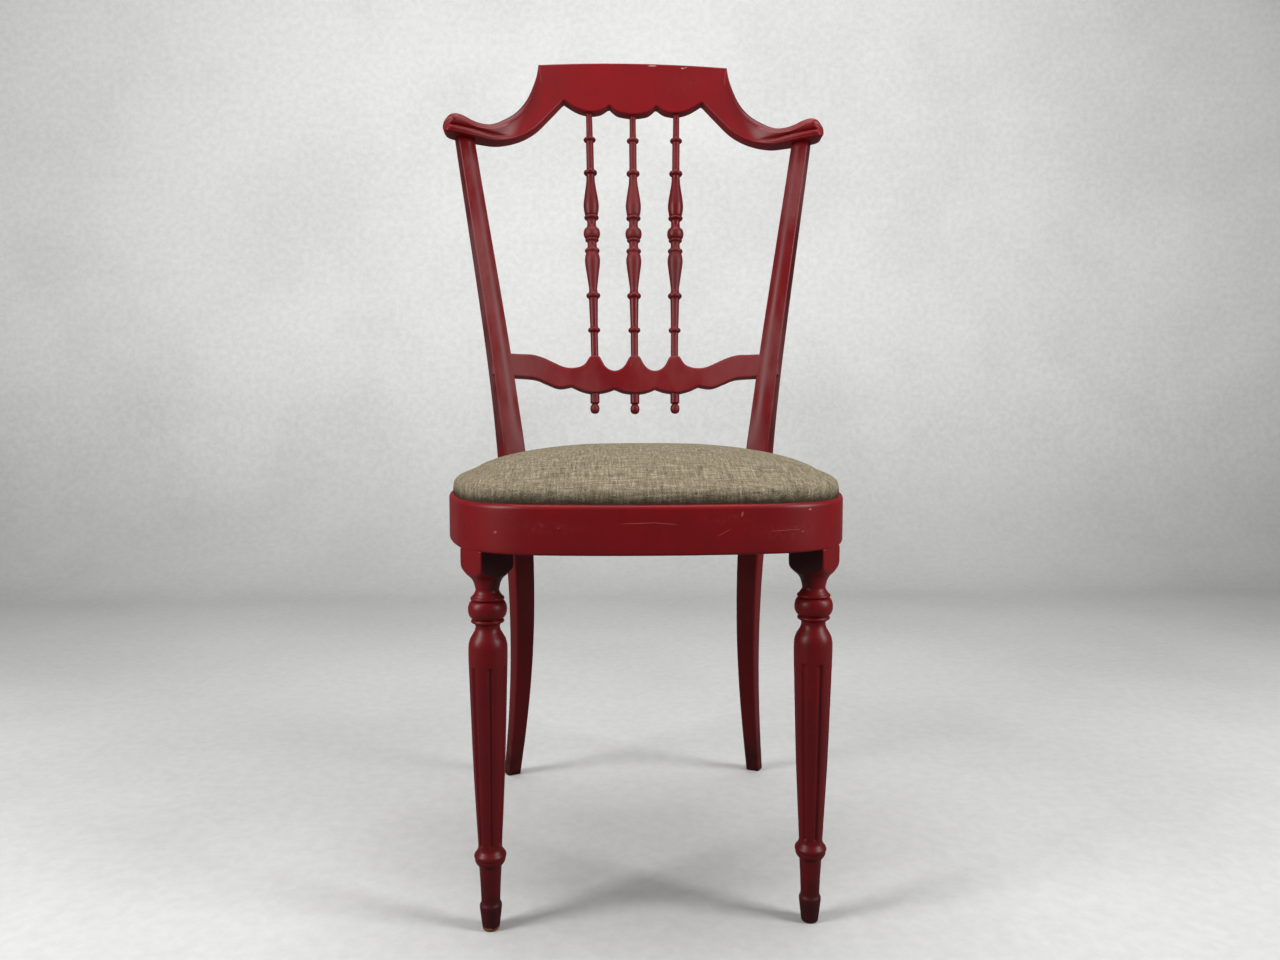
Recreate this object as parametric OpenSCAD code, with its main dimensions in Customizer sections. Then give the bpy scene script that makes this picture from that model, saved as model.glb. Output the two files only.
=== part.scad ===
// Spindle-back dining chair with a drop-in seat pad.
// Y grows towards the back of the chair, X to the right as seen from the front.

/* [Seat frame] */
// Height of the seat frame's top edge above the floor
seat_h = 404; // [340:1:500]
// Width of the seat frame
seat_w = 402; // [340:1:480]
// Depth of the seat frame
seat_d = 403; // [340:1:480]
// Height of the frame's section
ring_h = 44.5; // [36:0.5:60]
// Thickness of the frame's section, from outside to inside
ring_t = 34; // [28:0.5:38]
// Outer radius of the two front corners
front_corner_r = 91; // [70:1:110]
// Outer radius of the two rear corners
rear_corner_r = 47; // [46:1:60]
// Radius of the frame's rounded top outer edge
top_edge_r = 4.5; // [2:0.5:5]
// Radius of the frame's eased bottom outer edge
bottom_edge_r = 2; // [1:0.5:4]
// Width of the rim left outside the rebate for the pad
rim_w = 5; // [4.5:0.5:8]
// Depth of the rebate for the pad
rebate_d = 8; // [5:0.5:12]

/* [Front legs] */
// Side of the square block at the top of each leg
block_side = 36; // [30:0.5:42]
// How far each block's outer face lies inside the seat frame's outline
block_inset = 0.6; // [0.5:0.1:6]
// Turn of each block's wide face towards the middle of the chair
block_turn = 38; // [30:1:45]
// Height of the square block
block_h = 17; // [12:0.5:30]
// Radius of the shaft at its lower end
shaft_r_low = 11; // [9:0.1:14]
// Radius of the shaft at its shoulder
shaft_r_high = 17.8; // [14:0.1:20]
// Radius of the ball above the shoulder
ball_r = 17.8; // [14:0.1:20]
// Radius of the foot
foot_r = 10.2; // [9:0.1:14]
// Number of flutes on each shaft
flutes = 7; // [5:1:10]
// Radius of a flute's cutter at its upper end
flute_r = 2.2; // [1.2:0.1:3]
// Diameter of the tenon that enters the seat frame
leg_tenon_d = 16; // [12:0.5:20]
// Length of that tenon
leg_tenon_l = 22; // [14:1:30]

/* [Rear posts] */
// Height of the posts' tops above the seat frame, where they meet the crest rail
post_rise = 421; // [300:1:560]
// How far each post's top stands out sideways from the seat joint
post_top_out = 61.9; // [30:0.5:90]
// How far the posts' tops lean back behind the seat joint
post_top_back = 46; // [20:1:90]
// How far each rear foot stands out sideways from the seat joint
post_foot_out = 12.5; // [0:0.5:30]
// How far each rear foot stands behind the seat joint
post_foot_back = 67; // [30:1:110]
// Turn of each post's front face towards the middle of the chair
post_turn = 29.5; // [22:0.5:36]
// Width of a post's front face at the seat
post_w = 29.5; // [22:0.5:36]
// Depth of a post at the seat
post_d = 25.5; // [22:0.5:32]
// Width of a post's front face at its top
post_top_face = 22; // [16:0.5:27]
// Depth of a post at its top
post_top_depth = 18.5; // [15:0.5:24]
// Side of a post's square foot
post_foot = 17.5; // [14:0.5:24]
// Crown of the stile's front face above the seat
post_crown = 3; // [0:0.5:5]
// Depth of the housing in the seat frame that takes each post
housing = 5; // [2:0.5:8]

/* [Crest rail] */
// Thickness of the crest rail from front to back
crest_t = 18; // [14:0.5:24]
// Radius of the crest rail's curve in plan
crest_plan_r = 486; // [400:1:700]
// Height of the crest rail's top above its lowest scallop
crest_h = 70; // [55:0.5:90]
// Half the length of the raised middle part's top edge
crest_top_half = 123; // [100:1:140]
// Depth of the crest rail's arms below the middle scallop
crest_drop = 55; // [45:0.5:75]
// Length of the scroll ears outside the posts' centres
ear_l = 26; // [20:0.5:34]
// How far the ears stand forward of the crest rail's face
ear_forward = 9; // [4:0.5:14]
// Recline of the crest rail from the vertical
crest_tilt = 8.5; // [4:0.5:14]

/* [Lower back rail] */
// Height of the rail's lowest point above the seat frame
rail_rise = 102; // [70:1:160]
// Height of the rail from its lowest point to the tops of its lobes
rail_lobe_h = 49; // [40:0.5:60]
// Height of the rail's ends above its lowest point
rail_end_h = 44.6; // [38:0.5:58]
// Thickness of the rail from front to back
rail_t = 16; // [12:0.5:20]
// Radius of the rail's curve in plan
rail_plan_r = 379; // [320:1:600]
// Length of the rail's tenons in the posts
rail_tenon_l = 9; // [6:0.5:12]

/* [Spindles] */
// Distance between the spindles at the lower back rail
spindle_pitch_low = 51.2; // [44:0.1:58]
// Distance between the spindles at the crest rail
spindle_pitch_high = 57.6; // [48:0.1:64]
// Largest radius of a spindle, at its ball
spindle_ball_r = 10.7; // [8:0.1:13]
// Radius of the spindle's thin lengths
spindle_thin_r = 4.8; // [4:0.1:6.5]
// Diameter of the tenons on spindles and pendants
small_tenon_d = 6.5; // [5:0.1:7.5]
// Length of those tenons
small_tenon_l = 10; // [6:0.5:13]
// Length of a pendant below the rail
pendant_l = 25.5; // [18:0.5:36]

/* [Seat pad] */
// Thickness of the plywood seat board
board_t = 9; // [6:0.5:12]
// Thickness of the woven cover
cloth_t = 1.2; // [0.8:0.1:2]
// Height of the pad's upright edge above the frame
pad_edge_h = 15; // [6:0.5:20]
// Height of the pad's crown above its upright edge
pad_crown_h = 30; // [20:0.5:50]
// How far the cover's turned-in margin shows inside the frame
cover_margin = 7; // [5:0.5:8]

/* [Joints and fasteners] */
// Clearance of the wood joints
fit_gap = 0.1; // [0.05:0.05:0.3]
// Clearance between the cover and what it touches
cloth_gap = 0.2; // [0.1:0.1:0.5]
// Diameter of the dowels between posts and crest rail
dowel_d = 9; // [6:0.5:10]
// Length of those dowels
dowel_l = 36; // [24:1:40]
// Diameter of the wood screws' shanks
screw_d = 4; // [3:0.5:5]
// Height of the corner blocks
corner_block_h = 26; // [18:1:32]
// Crown width of the staples in the cover's margin
staple_w = 10; // [8:0.5:13]

/* [Hidden] */
$fn = 64;
paint = [0.42, 0.05, 0.07];
bare_wood = [0.72, 0.56, 0.38];
steel = [0.62, 0.62, 0.64];

ring_z = seat_h - ring_h;
ledge_z = seat_h - rebate_d;

// ---- The seat frame's outline: five arcs a side, tangent to each other ----
// Each heading is the outward normal's turn from straight ahead at the end of an arc.
headings = [0, 8.2, 71, 114.3, 158.2, 180];
hs = [for (h = headings) sin(h)];
hc = [for (h = headings) cos(h)];
rear_k = (1 + hc[4]) / hs[4];
front_k = (1 - hc[1]) / hs[1];
half_w = seat_w / 2;
// The side and front radii follow from the frame's width and depth.
side_r = (seat_d - (half_w - front_corner_r * (hs[2] - hs[1])) * front_k
          - front_corner_r * (hc[1] - hc[2]) - rear_corner_r * (hc[3] - hc[4])
          - (half_w + rear_corner_r * (hs[4] - hs[3])) * rear_k)
         / (-(1 - hs[2]) * front_k + hc[2] - hc[3] - (1 - hs[3]) * rear_k);
front_r = (half_w - front_corner_r * (hs[2] - hs[1]) - side_r * (1 - hs[2])) / hs[1];
rear_r = (half_w - side_r * (1 - hs[3]) + rear_corner_r * (hs[4] - hs[3])) / hs[4];
arc_r = [front_r, front_corner_r, side_r, rear_corner_r, rear_r];

outer_turn = 90 - block_turn;
function out_normal(h) = [sin(h), -cos(h)];
function arc_centre(i, y0) =
    i == 0 ? [0, y0 + front_r]
           : arc_centre(i - 1, y0) + (arc_r[i - 1] - arc_r[i]) * out_normal(headings[i]);
function arc_of(h, i = 0) = i == 4 || h <= headings[i + 1] ? i : arc_of(h, i + 1);
function ring_point_at(h, inset, y0) =
    let (i = arc_of(h)) arc_centre(i, y0) + (arc_r[i] - inset) * out_normal(h);
// The legs' axes lie on the line y = 0.
leg_inset = block_side / 2 + block_inset;
front_y = -ring_point_at(outer_turn, leg_inset, 0)[1];
function ring_point(h, inset) = ring_point_at(h, inset, front_y);
leg_x = ring_point(outer_turn, leg_inset)[0];

// ---- Rear posts: the centre line ----
post_out = [sin(post_turn), cos(post_turn)];
post_side = [cos(post_turn), -sin(post_turn)];
post_seat = ring_point(180 - post_turn, 0) + (post_d / 2 - housing) * post_out;
post_lean = 0.084;
land_low = ring_z - 8;
land_high = seat_h + 8;
land_mid = ring_z + ring_h / 2;
function land_at(z) =
    let (p = post_seat + (z - land_mid) * post_lean * post_side) [p[0], p[1], z];
post_foot_at = [post_seat[0] + post_foot_out, post_seat[1] + post_foot_back, 0];
post_top_h = seat_h + post_rise;
post_top_x = post_seat[0] + post_top_out;
post_top_at = [post_top_x, post_seat[1] + post_top_back, post_top_h];
foot_handle = [-14, -40, 100];
land_handle_low = land_low * 0.42;
land_handle_high = (post_top_h - land_high) * 0.3;
top_handle = (post_top_h - land_high) * 0.37;
land_dir = [post_side[0] * post_lean, post_side[1] * post_lean, 1];
top_dir = [0.158, 0.15, 1];
function bez(a, b, c, d, t) =
    a * pow(1 - t, 3) + b * 3 * t * pow(1 - t, 2) + c * 3 * t * t * (1 - t) + d * t * t * t;
function leg_curve(t) = bez(post_foot_at, post_foot_at + foot_handle,
                            land_at(land_low) - land_handle_low * land_dir, land_at(land_low), t);
function stile_curve(t) = bez(land_at(land_high), land_at(land_high) + land_handle_high * land_dir,
                              post_top_at - top_handle * top_dir, post_top_at, t);

// ---- Crest rail: a frame tilted with the back ----
// Origin on the rail's mid surface, above the middle scallop's lowest point.
function sag(x, r) = r - sqrt(r * r - x * x);
crest_sag = sag(post_top_x, crest_plan_r);
crest_o = [post_top_at[1] + crest_sag * cos(crest_tilt) + crest_drop * sin(crest_tilt),
           post_top_h - crest_sag * sin(crest_tilt) + crest_drop * cos(crest_tilt)];
// Height of the plane on which the posts' tops end.
function under_crest_z(y) =
    crest_o[1] - crest_drop * cos(crest_tilt)
    - tan(crest_tilt) * (y - crest_o[0] + crest_drop * sin(crest_tilt));

// ---- Lower back rail: a frame tilted with the spindles ----
rail_joint_t = 0.35;
rail_joint = stile_curve(rail_joint_t);
rail_joint_run = stile_curve(rail_joint_t + 0.02) - stile_curve(rail_joint_t - 0.02);
// Half the post's width there, and how much its inner side leans along the rail.
rail_joint_half = blend(post_w, post_top_face, pow(rail_joint_t, 0.85)) / 2;
rail_joint_lean = (rail_joint_run[0] * post_side[0] + rail_joint_run[1] * post_side[1])
                  / rail_joint_run[2] + (post_w - post_top_face) / 2 / (post_top_h - land_high);
rail_low_h = seat_h + rail_rise;
rail_sag = sag(rail_joint[0], rail_plan_r);
back_tilt = 9;
rail_o = [rail_joint[1] + rail_sag * cos(back_tilt)
          - (rail_joint[2] - rail_low_h - rail_sag * sin(back_tilt)) * tan(back_tilt), rail_low_h];

// The chair stands with the middle of its whole depth on the line y = 0.
crest_back = crest_o[0] + crest_t / 2 * cos(crest_tilt) + crest_h * sin(crest_tilt);
origin_y = (front_y + crest_back) / 2;

module place() {
    translate([0, -origin_y, 0]) children();
}

module both_sides() {
    children();
    mirror([1, 0, 0]) children();
}

// Carries children from a frame tilted back by a about the X axis, standing at [y, z].
module tilted(o, a) {
    translate([0, o[0], o[1]]) rotate([-a, 0, 0]) children();
}

// Points of a smooth curve through knots k, n steps a span, without the last knot.
function spline_at(a, b, c, d, t) =
    0.5 * (2 * b + (c - a) * t + (2 * a - 5 * b + 4 * c - d) * t * t
           + (3 * b - a - 3 * c + d) * t * t * t);
function spline(k, n = 5) =
    let (m = len(k) - 1)
    [for (i = [0:m - 1]) for (j = [0:n - 1])
        spline_at(k[max(i - 1, 0)], k[i], k[i + 1], k[min(i + 2, m)], j / n)];
function flip(pts) = [for (i = [len(pts) - 1:-1:0]) [-pts[i][0], pts[i][1]]];

// Profile points of turnings: a half-round bead, an S-shaped run and a bulge.
function bead(z, h, r_in, r_out, n = 8) =
    [for (i = [0:n]) let (a = -90 + 180 * i / n)
        [r_in + (r_out - r_in) * cos(a), z + h / 2 * sin(a)]];
function run(r0, z0, r1, z1, n = 8) =
    [for (i = [1:n - 1]) [r0 + (r1 - r0) * (1 - cos(180 * i / n)) / 2, z0 + (z1 - z0) * i / n]];

// A closed ring of the frame's outline at one inset, counter-clockwise from the front centre.
loop_steps = [3, 10, 8, 7, 3];
half_loop = [for (i = [0:4]) for (j = [0:loop_steps[i] - 1])
    headings[i] + (headings[i + 1] - headings[i]) * j / loop_steps[i]];
loop_count = 2 * len(half_loop);
function loop_point(k, inset) =
    let (n = len(half_loop))
    k < n ? ring_point(half_loop[k], inset)
          : let (p = ring_point(k == n ? 180 : half_loop[2 * n - k], inset)) [-p[0], p[1]];
function loop(inset) = [for (k = [0:loop_count - 1]) loop_point(k, inset)];

// Insets and heights that round the frame's outer edges, from the bottom to the top.
ring_edge = concat(
    [for (t = [0:30:90]) [bottom_edge_r * (1 - sin(t)), ring_z + bottom_edge_r * (1 - cos(t))]],
    [for (t = [0:22.5:90]) [top_edge_r * (1 - cos(t)), seat_h - top_edge_r * (1 - sin(t))]]);

// The straight stretch of a post where the frame holds it, widened by a clearance.
module post_land(gap) {
    translate(concat(post_seat, land_mid))
        rotate([0, 0, -post_turn]) rotate([0, atan(post_lean), 0])
            translate([-post_w / 2 - gap, -post_d / 2 - gap, -ring_h])
                cube([post_w + 2 * gap, post_d + 10, 2 * ring_h]);
}

post_screw_heights = [ring_z + 9, ring_z + 30.5];
block_screw_z = ring_z + 19.5;

// A wood screw with a countersunk head at the origin, its point along +Z.
module screw(l, d) {
    cylinder(h = l - d, d = d);
    translate([0, 0, l - d]) cylinder(h = d, d1 = d, d2 = d * 0.3);
    cylinder(h = d * 0.6, d1 = d * 2, d2 = d);
}

module screw_hole(l, d) {
    screw(l + fit_gap, d + 2 * fit_gap);
    translate([0, 0, -l]) cylinder(h = l + 0.01, d = d * 2 + 2 * fit_gap);
}

post_screw_l = 44;
module post_screw_places() {
    for (z = post_screw_heights)
        let (p = land_at(z), start = post_d / 2 + ring_t - housing - 6)
            translate([p[0] - post_out[0] * start, p[1] - post_out[1] * start, z])
                rotate([0, 0, -post_turn]) rotate([-90, 0, 0]) children();
}

// Corner blocks: the stretch of frame each one braces, as places in half_loop.
front_block = [2, 15];
rear_block = [20, 29];
staple_wire = 0.8;
// The blocks stop short of the staples' crowns.
block_top = ledge_z - staple_wire - 4 * fit_gap;
block_z = block_top - corner_block_h;
block_screw_l = 30;
function block_corner(k) = ring_point(half_loop[k], ring_t + fit_gap);
function block_points(span) = [for (k = [span[0]:span[1]]) block_corner(k)];
function block_mid(span) = (block_corner(span[0]) + block_corner(span[1])) / 2;
// Two screws a block go out into the frame, square to the chord of the block.
module block_screw_places(span) {
    let (a = block_corner(span[0]), b = block_corner(span[1]), u = (b - a) / norm(b - a),
         out = [u[1], -u[0]], turn = atan2(out[1], out[0]))
        for (s = [-0.28, 0.28])
            let (p = (a + b) / 2 + s * norm(b - a) * u)
                translate([p[0], p[1], block_screw_z])
                    rotate([0, 0, turn]) rotate([0, 90, 0]) children();
}
seat_screw_l = corner_block_h + 6;
module seat_screw_place(span) {
    let (p = (block_mid(span) + block_corner(round((span[0] + span[1]) / 2))) / 2)
        translate([p[0], p[1], block_z]) children();
}

module seat_ring() {
    color(paint) place() difference() {
        skin([for (e = ring_edge) [for (p = loop(e[0])) [p[0], p[1], e[1]]]]);
        translate([0, 0, ring_z - 1]) ring_fill(ring_t, ring_h + 2);
        translate([0, 0, ledge_z]) ring_fill(rim_w, rebate_d + 1);
        both_sides() post_land(fit_gap);
        both_sides() translate([leg_x, 0, ring_z - 1])
            cylinder(h = leg_tenon_l + 1.5, d = leg_tenon_d + 2 * fit_gap);
        both_sides() post_screw_places() screw_hole(post_screw_l, screw_d + 0.5);
        both_sides() for (s = [front_block, rear_block])
            block_screw_places(s) screw_hole(block_screw_l, screw_d);
    }
}

// Heights of the front leg's turned features above the floor.
foot_h = 25;
ring_bead_z = 70;
shoulder_z = ring_z - 99.5;
neck_z = shoulder_z + 27.2;
collar_low_z = shoulder_z + 33.6;
ball_z = shoulder_z + 44;
collar_high_z = shoulder_z + 54;
throat_z = shoulder_z + 64.5;
block_low_z = ring_z - block_h;
ankle_r = 8.7;
neck_r = 11.1;

leg_profile = concat(
    [[0, 0], [7, 0], [7.8, 0.8], [8.6, 6]],
    [[foot_r, 19], [foot_r, foot_h - 1.2], [foot_r - 0.5, foot_h], [ankle_r + 0.2, foot_h + 2.6]],
    [[ankle_r, foot_h + 4], [10.4, ring_bead_z - 8]],
    [[12.2, ring_bead_z - 6.2], [13.6, ring_bead_z - 4], [14.2, ring_bead_z - 2.2], [14.2, ring_bead_z - 1.4],
     [13.7, ring_bead_z - 0.7], [14.7, ring_bead_z + 0.2], [14.9, ring_bead_z + 1.6], [14.6, ring_bead_z + 3],
     [13.2, ring_bead_z + 5.2], [11.8, ring_bead_z + 7.2]],
    spline([[shaft_r_low, ring_bead_z + 9], [12.9, 118], [14.8, 160], [16.6, shoulder_z - 44],
            [shaft_r_high - 0.5, shoulder_z - 20], [shaft_r_high, shoulder_z - 4],
            [shaft_r_high, shoulder_z + 9]]),
    spline([[shaft_r_high, shoulder_z + 9], [17.2, shoulder_z + 13.5], [15.2, shoulder_z + 18.5],
            [12.4, shoulder_z + 23], [neck_r, neck_z], [12.4, shoulder_z + 31]]),
    bead(collar_low_z, 4.6, 12.6, 15.1),
    bead(ball_z, 16, 13.4, ball_r, 14),
    bead(collar_high_z, 4, 12.6, 15.4),
    spline([[12.4, collar_high_z + 3.4], [neck_r, throat_z - 2], [11.8, throat_z + 4],
            [14.4, throat_z + 8.4]]),
    [[14.4, throat_z + 8.4], [14.4, block_low_z], [0, block_low_z]]);

// The block's lower end is turned to a bowl, which rounds its four corners.
bowl_r = block_side * 0.73;
bowl_profile = concat(
    [[0, throat_z + 4], [11.8, throat_z + 4]],
    spline([[11.8, throat_z + 4], [14.4, throat_z + 9], [19, throat_z + 12.6],
            [23.4, throat_z + 16.2], [bowl_r, block_low_z + 2.5]]),
    [[bowl_r, block_low_z + 2.5], [bowl_r, ring_z], [0, ring_z]]);

flute_low_z = ring_bead_z + 14;
flute_high_z = shoulder_z - 10;
flute_phase = 11;

// One flute's cutter: a tapered rod with round ends, leaning with the shaft.
module flute() {
    low_r = flute_r * 0.7;
    low_x = 12 + low_r * 0.3;
    high_x = shaft_r_high - 0.3 + flute_r * 0.35;
    length = flute_high_z - flute_low_z;
    translate([low_x, 0, flute_low_z]) rotate([0, atan((high_x - low_x) / length), 0]) {
        cylinder(h = length, r1 = low_r, r2 = flute_r, $fn = 24);
        sphere(r = low_r, $fn = 24);
        translate([0, 0, length]) sphere(r = flute_r, $fn = 24);
    }
}

module front_leg(side) {
    color(paint) place() translate([side * leg_x, 0, 0]) {
        difference() {
            rotate_extrude() polygon(leg_profile);
            for (i = [0:flutes - 1])
                rotate([0, 0, flute_phase - 90 + i * 360 / flutes]) flute();
        }
        intersection() {
            rotate_extrude() polygon(bowl_profile);
            rotate([0, 0, -side * block_turn]) translate([-block_side / 2, -block_side / 2, 0])
                cube([block_side, block_side, ring_z]);
        }
        translate([0, 0, block_low_z]) cylinder(h = block_h + leg_tenon_l, d = leg_tenon_d);
    }
}

// A post's section: a rectangle with rounded corners and a crowned front face.
function post_section(w, d, crown) =
    let (a = w / 2, b = d / 2, r = 2.5, f = b - crown)
    concat(
        [for (q = [0:2]) [a - r + r * sin(45 * q), b - r + r * cos(45 * q)]],
        [for (q = [0:2]) [a - r + r * cos(45 * q), -f + r - r * sin(45 * q)]],
        [for (u = [0.6, 0, -0.6]) [(a - r) * u, -f - crown * (1 - u * u)]],
        [for (q = [0:2]) [-a + r - r * sin(45 * q), -f + r - r * cos(45 * q)]],
        [for (q = [0:2]) [-a + r - r * cos(45 * q), b - r + r * sin(45 * q)]]);
function post_ring(c, w, d, crown) =
    [for (p = post_section(w, d, crown))
        [c[0] + p[0] * post_side[0] + p[1] * post_out[0],
         c[1] + p[0] * post_side[1] + p[1] * post_out[1], c[2]]];
function blend(a, b, t) = a + (b - a) * t;

leg_steps = 12;
stile_steps = 12;
post_leg_rings = [for (i = [0:leg_steps]) let (t = i / leg_steps, s = pow(t, 1.2))
    post_ring(leg_curve(t), blend(post_foot, post_w, s), blend(post_foot, post_d, s), 0)];
post_stile_rings = [for (i = [0:stile_steps - 1])
    let (t = i / stile_steps, s = pow(t, 0.85), crown = post_crown * min(1, t * 4))
    post_ring(stile_curve(t), blend(post_w, post_top_face, s), blend(post_d, post_top_depth, s),
              crown)];
post_last_ring = [for (p = post_ring(post_top_at, post_top_face, post_top_depth, post_crown))
    [p[0], p[1], under_crest_z(p[1]) - fit_gap]];
post_rings = concat(post_leg_rings, post_stile_rings, [post_last_ring]);

// Skins a stack of equal rings into one closed solid.
module skin(rings) {
    n = len(rings[0]);
    m = len(rings);
    polyhedron(
        points = [for (r = rings) for (p = r) p],
        faces = concat(
            [[for (i = [0:n - 1]) i]],
            [for (k = [0:m - 2]) for (i = [0:n - 1])
                [k * n + i, (k + 1) * n + i, (k + 1) * n + (i + 1) % n, k * n + (i + 1) % n]],
            [[for (i = [n - 1:-1:0]) (m - 1) * n + i]]));
}

module post_body() {
    skin(post_rings);
}

// Thickness and height of the rail's tenons.
rail_tenon = [8, 20];
// Carries children to where the rail meets the right post, X running into the post.
module at_rail_joint() {
    translate(rail_joint) rotate([0, 0, -post_turn]) rotate([0, atan(rail_joint_lean), 0])
        translate([-rail_joint_half, 0, 0]) children();
}
module rail_tenons(gap) {
    both_sides() at_rail_joint()
        translate([-7, -rail_tenon[0] / 2 - gap, -rail_tenon[1] / 2 - gap])
            cube([rail_tenon_l + 7 + gap, rail_tenon[0] + 2 * gap, rail_tenon[1] + 2 * gap]);
}

module crest_dowel_places() {
    both_sides() tilted(crest_o, crest_tilt)
        translate([post_top_x, -crest_sag, -crest_drop - dowel_l / 2]) children();
}

module rear_post() {
    color(paint) place() difference() {
        post_body();
        rail_tenons(fit_gap);
        crest_dowel_places() translate([0, 0, -fit_gap]) cylinder(h = dowel_l, d = dowel_d + 2 * fit_gap);
        post_screw_places() screw(post_screw_l + fit_gap, screw_d + 0.5 + 2 * fit_gap);
    }
}

// ---- Crest rail outline, right half, as [x, height in the tilted frame] ----
crest_top_edge = [for (i = [0:5]) let (x = crest_top_half * i / 6)
    [x, crest_h - 12.3 * pow(x / crest_top_half, 2)]];
crest_shoulder = spline([[crest_top_half, crest_h - 12.3], [crest_top_half + 3.7, crest_h - 31.6],
    [crest_top_half + 14, crest_h - 57], [post_top_x - 61, crest_h - 77],
    [post_top_x - 46, crest_h - 90.6], [post_top_x - 32, crest_h - 100.5],
    [post_top_x - 21, crest_h - 103.4], [post_top_x - 4, crest_h - 100],
    [post_top_x + ear_l - 17, crest_h - 98.7], [post_top_x + ear_l - 8, crest_h - 102.5],
    [post_top_x + ear_l - 0.4, crest_h - 114.9], [post_top_x + ear_l - 2, -crest_drop + 3],
    [post_top_x + ear_l - 8, -crest_drop]]);
crest_arm = spline([[post_top_x - 14, -crest_drop], [post_top_x - 37, -crest_drop + 1.5],
    [post_top_x - 63, -crest_drop + 11], [post_top_x - 84.5, -crest_drop + 25.8],
    [post_top_x - 102.5, -crest_drop + 46], [91, 14.4]]);
crest_scallops = concat(
    spline([[91, 14.4], [74, 5.2], [57, 1.8], [42, 4.6], [31, 12.5]], 4),
    spline([[31, 12.5], [20, 3.6], [0, 0.3]], 4));
crest_half = concat(crest_top_edge, crest_shoulder,
                    [[post_top_x + ear_l - 8, -crest_drop]], crest_arm, crest_scallops);
crest_outline = concat(crest_half, [[0, 0.3]], [for (p = flip(crest_half)) if (p[0] < -0.01) p]);

// A plank curved in plan: everything between two upright arcs, in the tilted frame.
module curved_plank(r, front, back, low, high) {
    translate([0, -r, low]) difference() {
        cylinder(h = high - low, r = r + back, $fn = 360);
        translate([0, 0, -1]) cylinder(h = high - low + 2, r = r - front, $fn = 360);
    }
}

module upright_outline(pts, reach) {
    rotate([90, 0, 0]) translate([0, 0, -reach]) linear_extrude(2 * reach) polygon(pts);
}

ear_start = post_top_x - 15;
module crest_rail() {
    color(paint) place() difference() {
        tilted(crest_o, crest_tilt) {
            intersection() {
                upright_outline(crest_outline, 120);
                translate([-400, -120, -100]) cube([800, 240, 200]);
                curved_plank(crest_plan_r, crest_t / 2, crest_t / 2, -99, 99);
            }
            intersection() {
                upright_outline(crest_outline, 120);
                both_sides() translate([ear_start, -120, -100]) cube([100, 240, 200]);
                curved_plank(crest_plan_r, crest_t / 2 + ear_forward, crest_t / 2, -99, 99);
            }
        }
        crest_dowel_places() cylinder(h = dowel_l + fit_gap, d = dowel_d + 2 * fit_gap);
        for (s = [-1:1]) spindle_place(s)
            cylinder(h = spindle_l + small_tenon_l + fit_gap, d = small_tenon_d + 2 * fit_gap);
    }
}

// ---- Lower back rail outline, right half ----
rail_lobe_w = 6;
// The outline runs on into the posts, where the joint cuts it off.
rail_end_x = rail_joint[0] + 15;
rail_top = concat(
    [[rail_lobe_w, rail_lobe_h]],
    spline([[rail_lobe_w, rail_lobe_h], [13, rail_lobe_h - 13], [spindle_pitch_low / 2, 30],
            [spindle_pitch_low - 13, rail_lobe_h - 13], [spindle_pitch_low - rail_lobe_w, rail_lobe_h]], 4),
    spline([[spindle_pitch_low + rail_lobe_w, rail_lobe_h - 0.8], [66, 36], [82, 31.6], [99, 35.5],
            [114, rail_end_h - 3], [rail_end_x - 41, rail_end_h + 0.6], [rail_end_x - 25, rail_end_h],
            [rail_end_x, rail_end_h - 1.6]]));
rail_bottom = concat(
    [[rail_end_x, 14], [rail_end_x - 39, 15.2]],
    spline([[rail_end_x - 39, 15.2], [114, 10.5], [102, 6], [93, 5.2], [81, 7.8]], 4),
    spline([[81, 7.8], [67, 2.2], [53, 0], [38, 2], [26, 6.1]], 4),
    spline([[26, 6.1], [14, 1.6], [0, 0]], 4));
rail_half = concat(rail_top, [[rail_end_x, rail_end_h - 1.6]], rail_bottom);
rail_outline = concat(rail_half, [[0, 0]], flip(rail_half));

module lower_back_rail() {
    color(paint) place() difference() {
        union() {
            difference() {
                tilted(rail_o, back_tilt) intersection() {
                    upright_outline(rail_outline, 80);
                    curved_plank(rail_plan_r, rail_t / 2, rail_t / 2, -20, 90);
                }
                both_sides() at_rail_joint() translate([-fit_gap, -60, -60]) cube(120);
            }
            rail_tenons(0);
        }
        for (s = [-1:1]) {
            spindle_place(s) translate([0, 0, -small_tenon_l - fit_gap])
                cylinder(h = small_tenon_l + 2, d = small_tenon_d + 2 * fit_gap);
            pendant_place(s) translate([0, 0, -1])
                cylinder(h = small_tenon_l + 1 + fit_gap, d = small_tenon_d + 2 * fit_gap);
        }
    }
}

// ---- Spindles, from the lobes' tops to the crest rail's scallops ----
function on_back(o, tilt, x, r, h) =
    [x, o[0] - sag(x, r) * cos(tilt) + h * sin(tilt), o[1] + sag(x, r) * sin(tilt) + h * cos(tilt)];
function spindle_foot(s) = on_back(rail_o, back_tilt, s * spindle_pitch_low, rail_plan_r, rail_lobe_h - abs(s) * 0.8);
function spindle_head(s) = on_back(crest_o, crest_tilt, s * spindle_pitch_high, crest_plan_r, 0.3 + abs(s) * 1.5);
spindle_l = norm(spindle_head(0) - spindle_foot(0));

module spindle_place(s) {
    a = spindle_foot(s);
    d = spindle_head(s) - a;
    translate(a) rotate([0, acos(d[2] / norm(d)), atan2(d[1], d[0])]) children();
}

module pendant_place(s) {
    p = on_back(rail_o, back_tilt, s * spindle_pitch_low, rail_plan_r, 0);
    translate(p) rotate([-back_tilt, 0, 0]) children();
}

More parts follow.
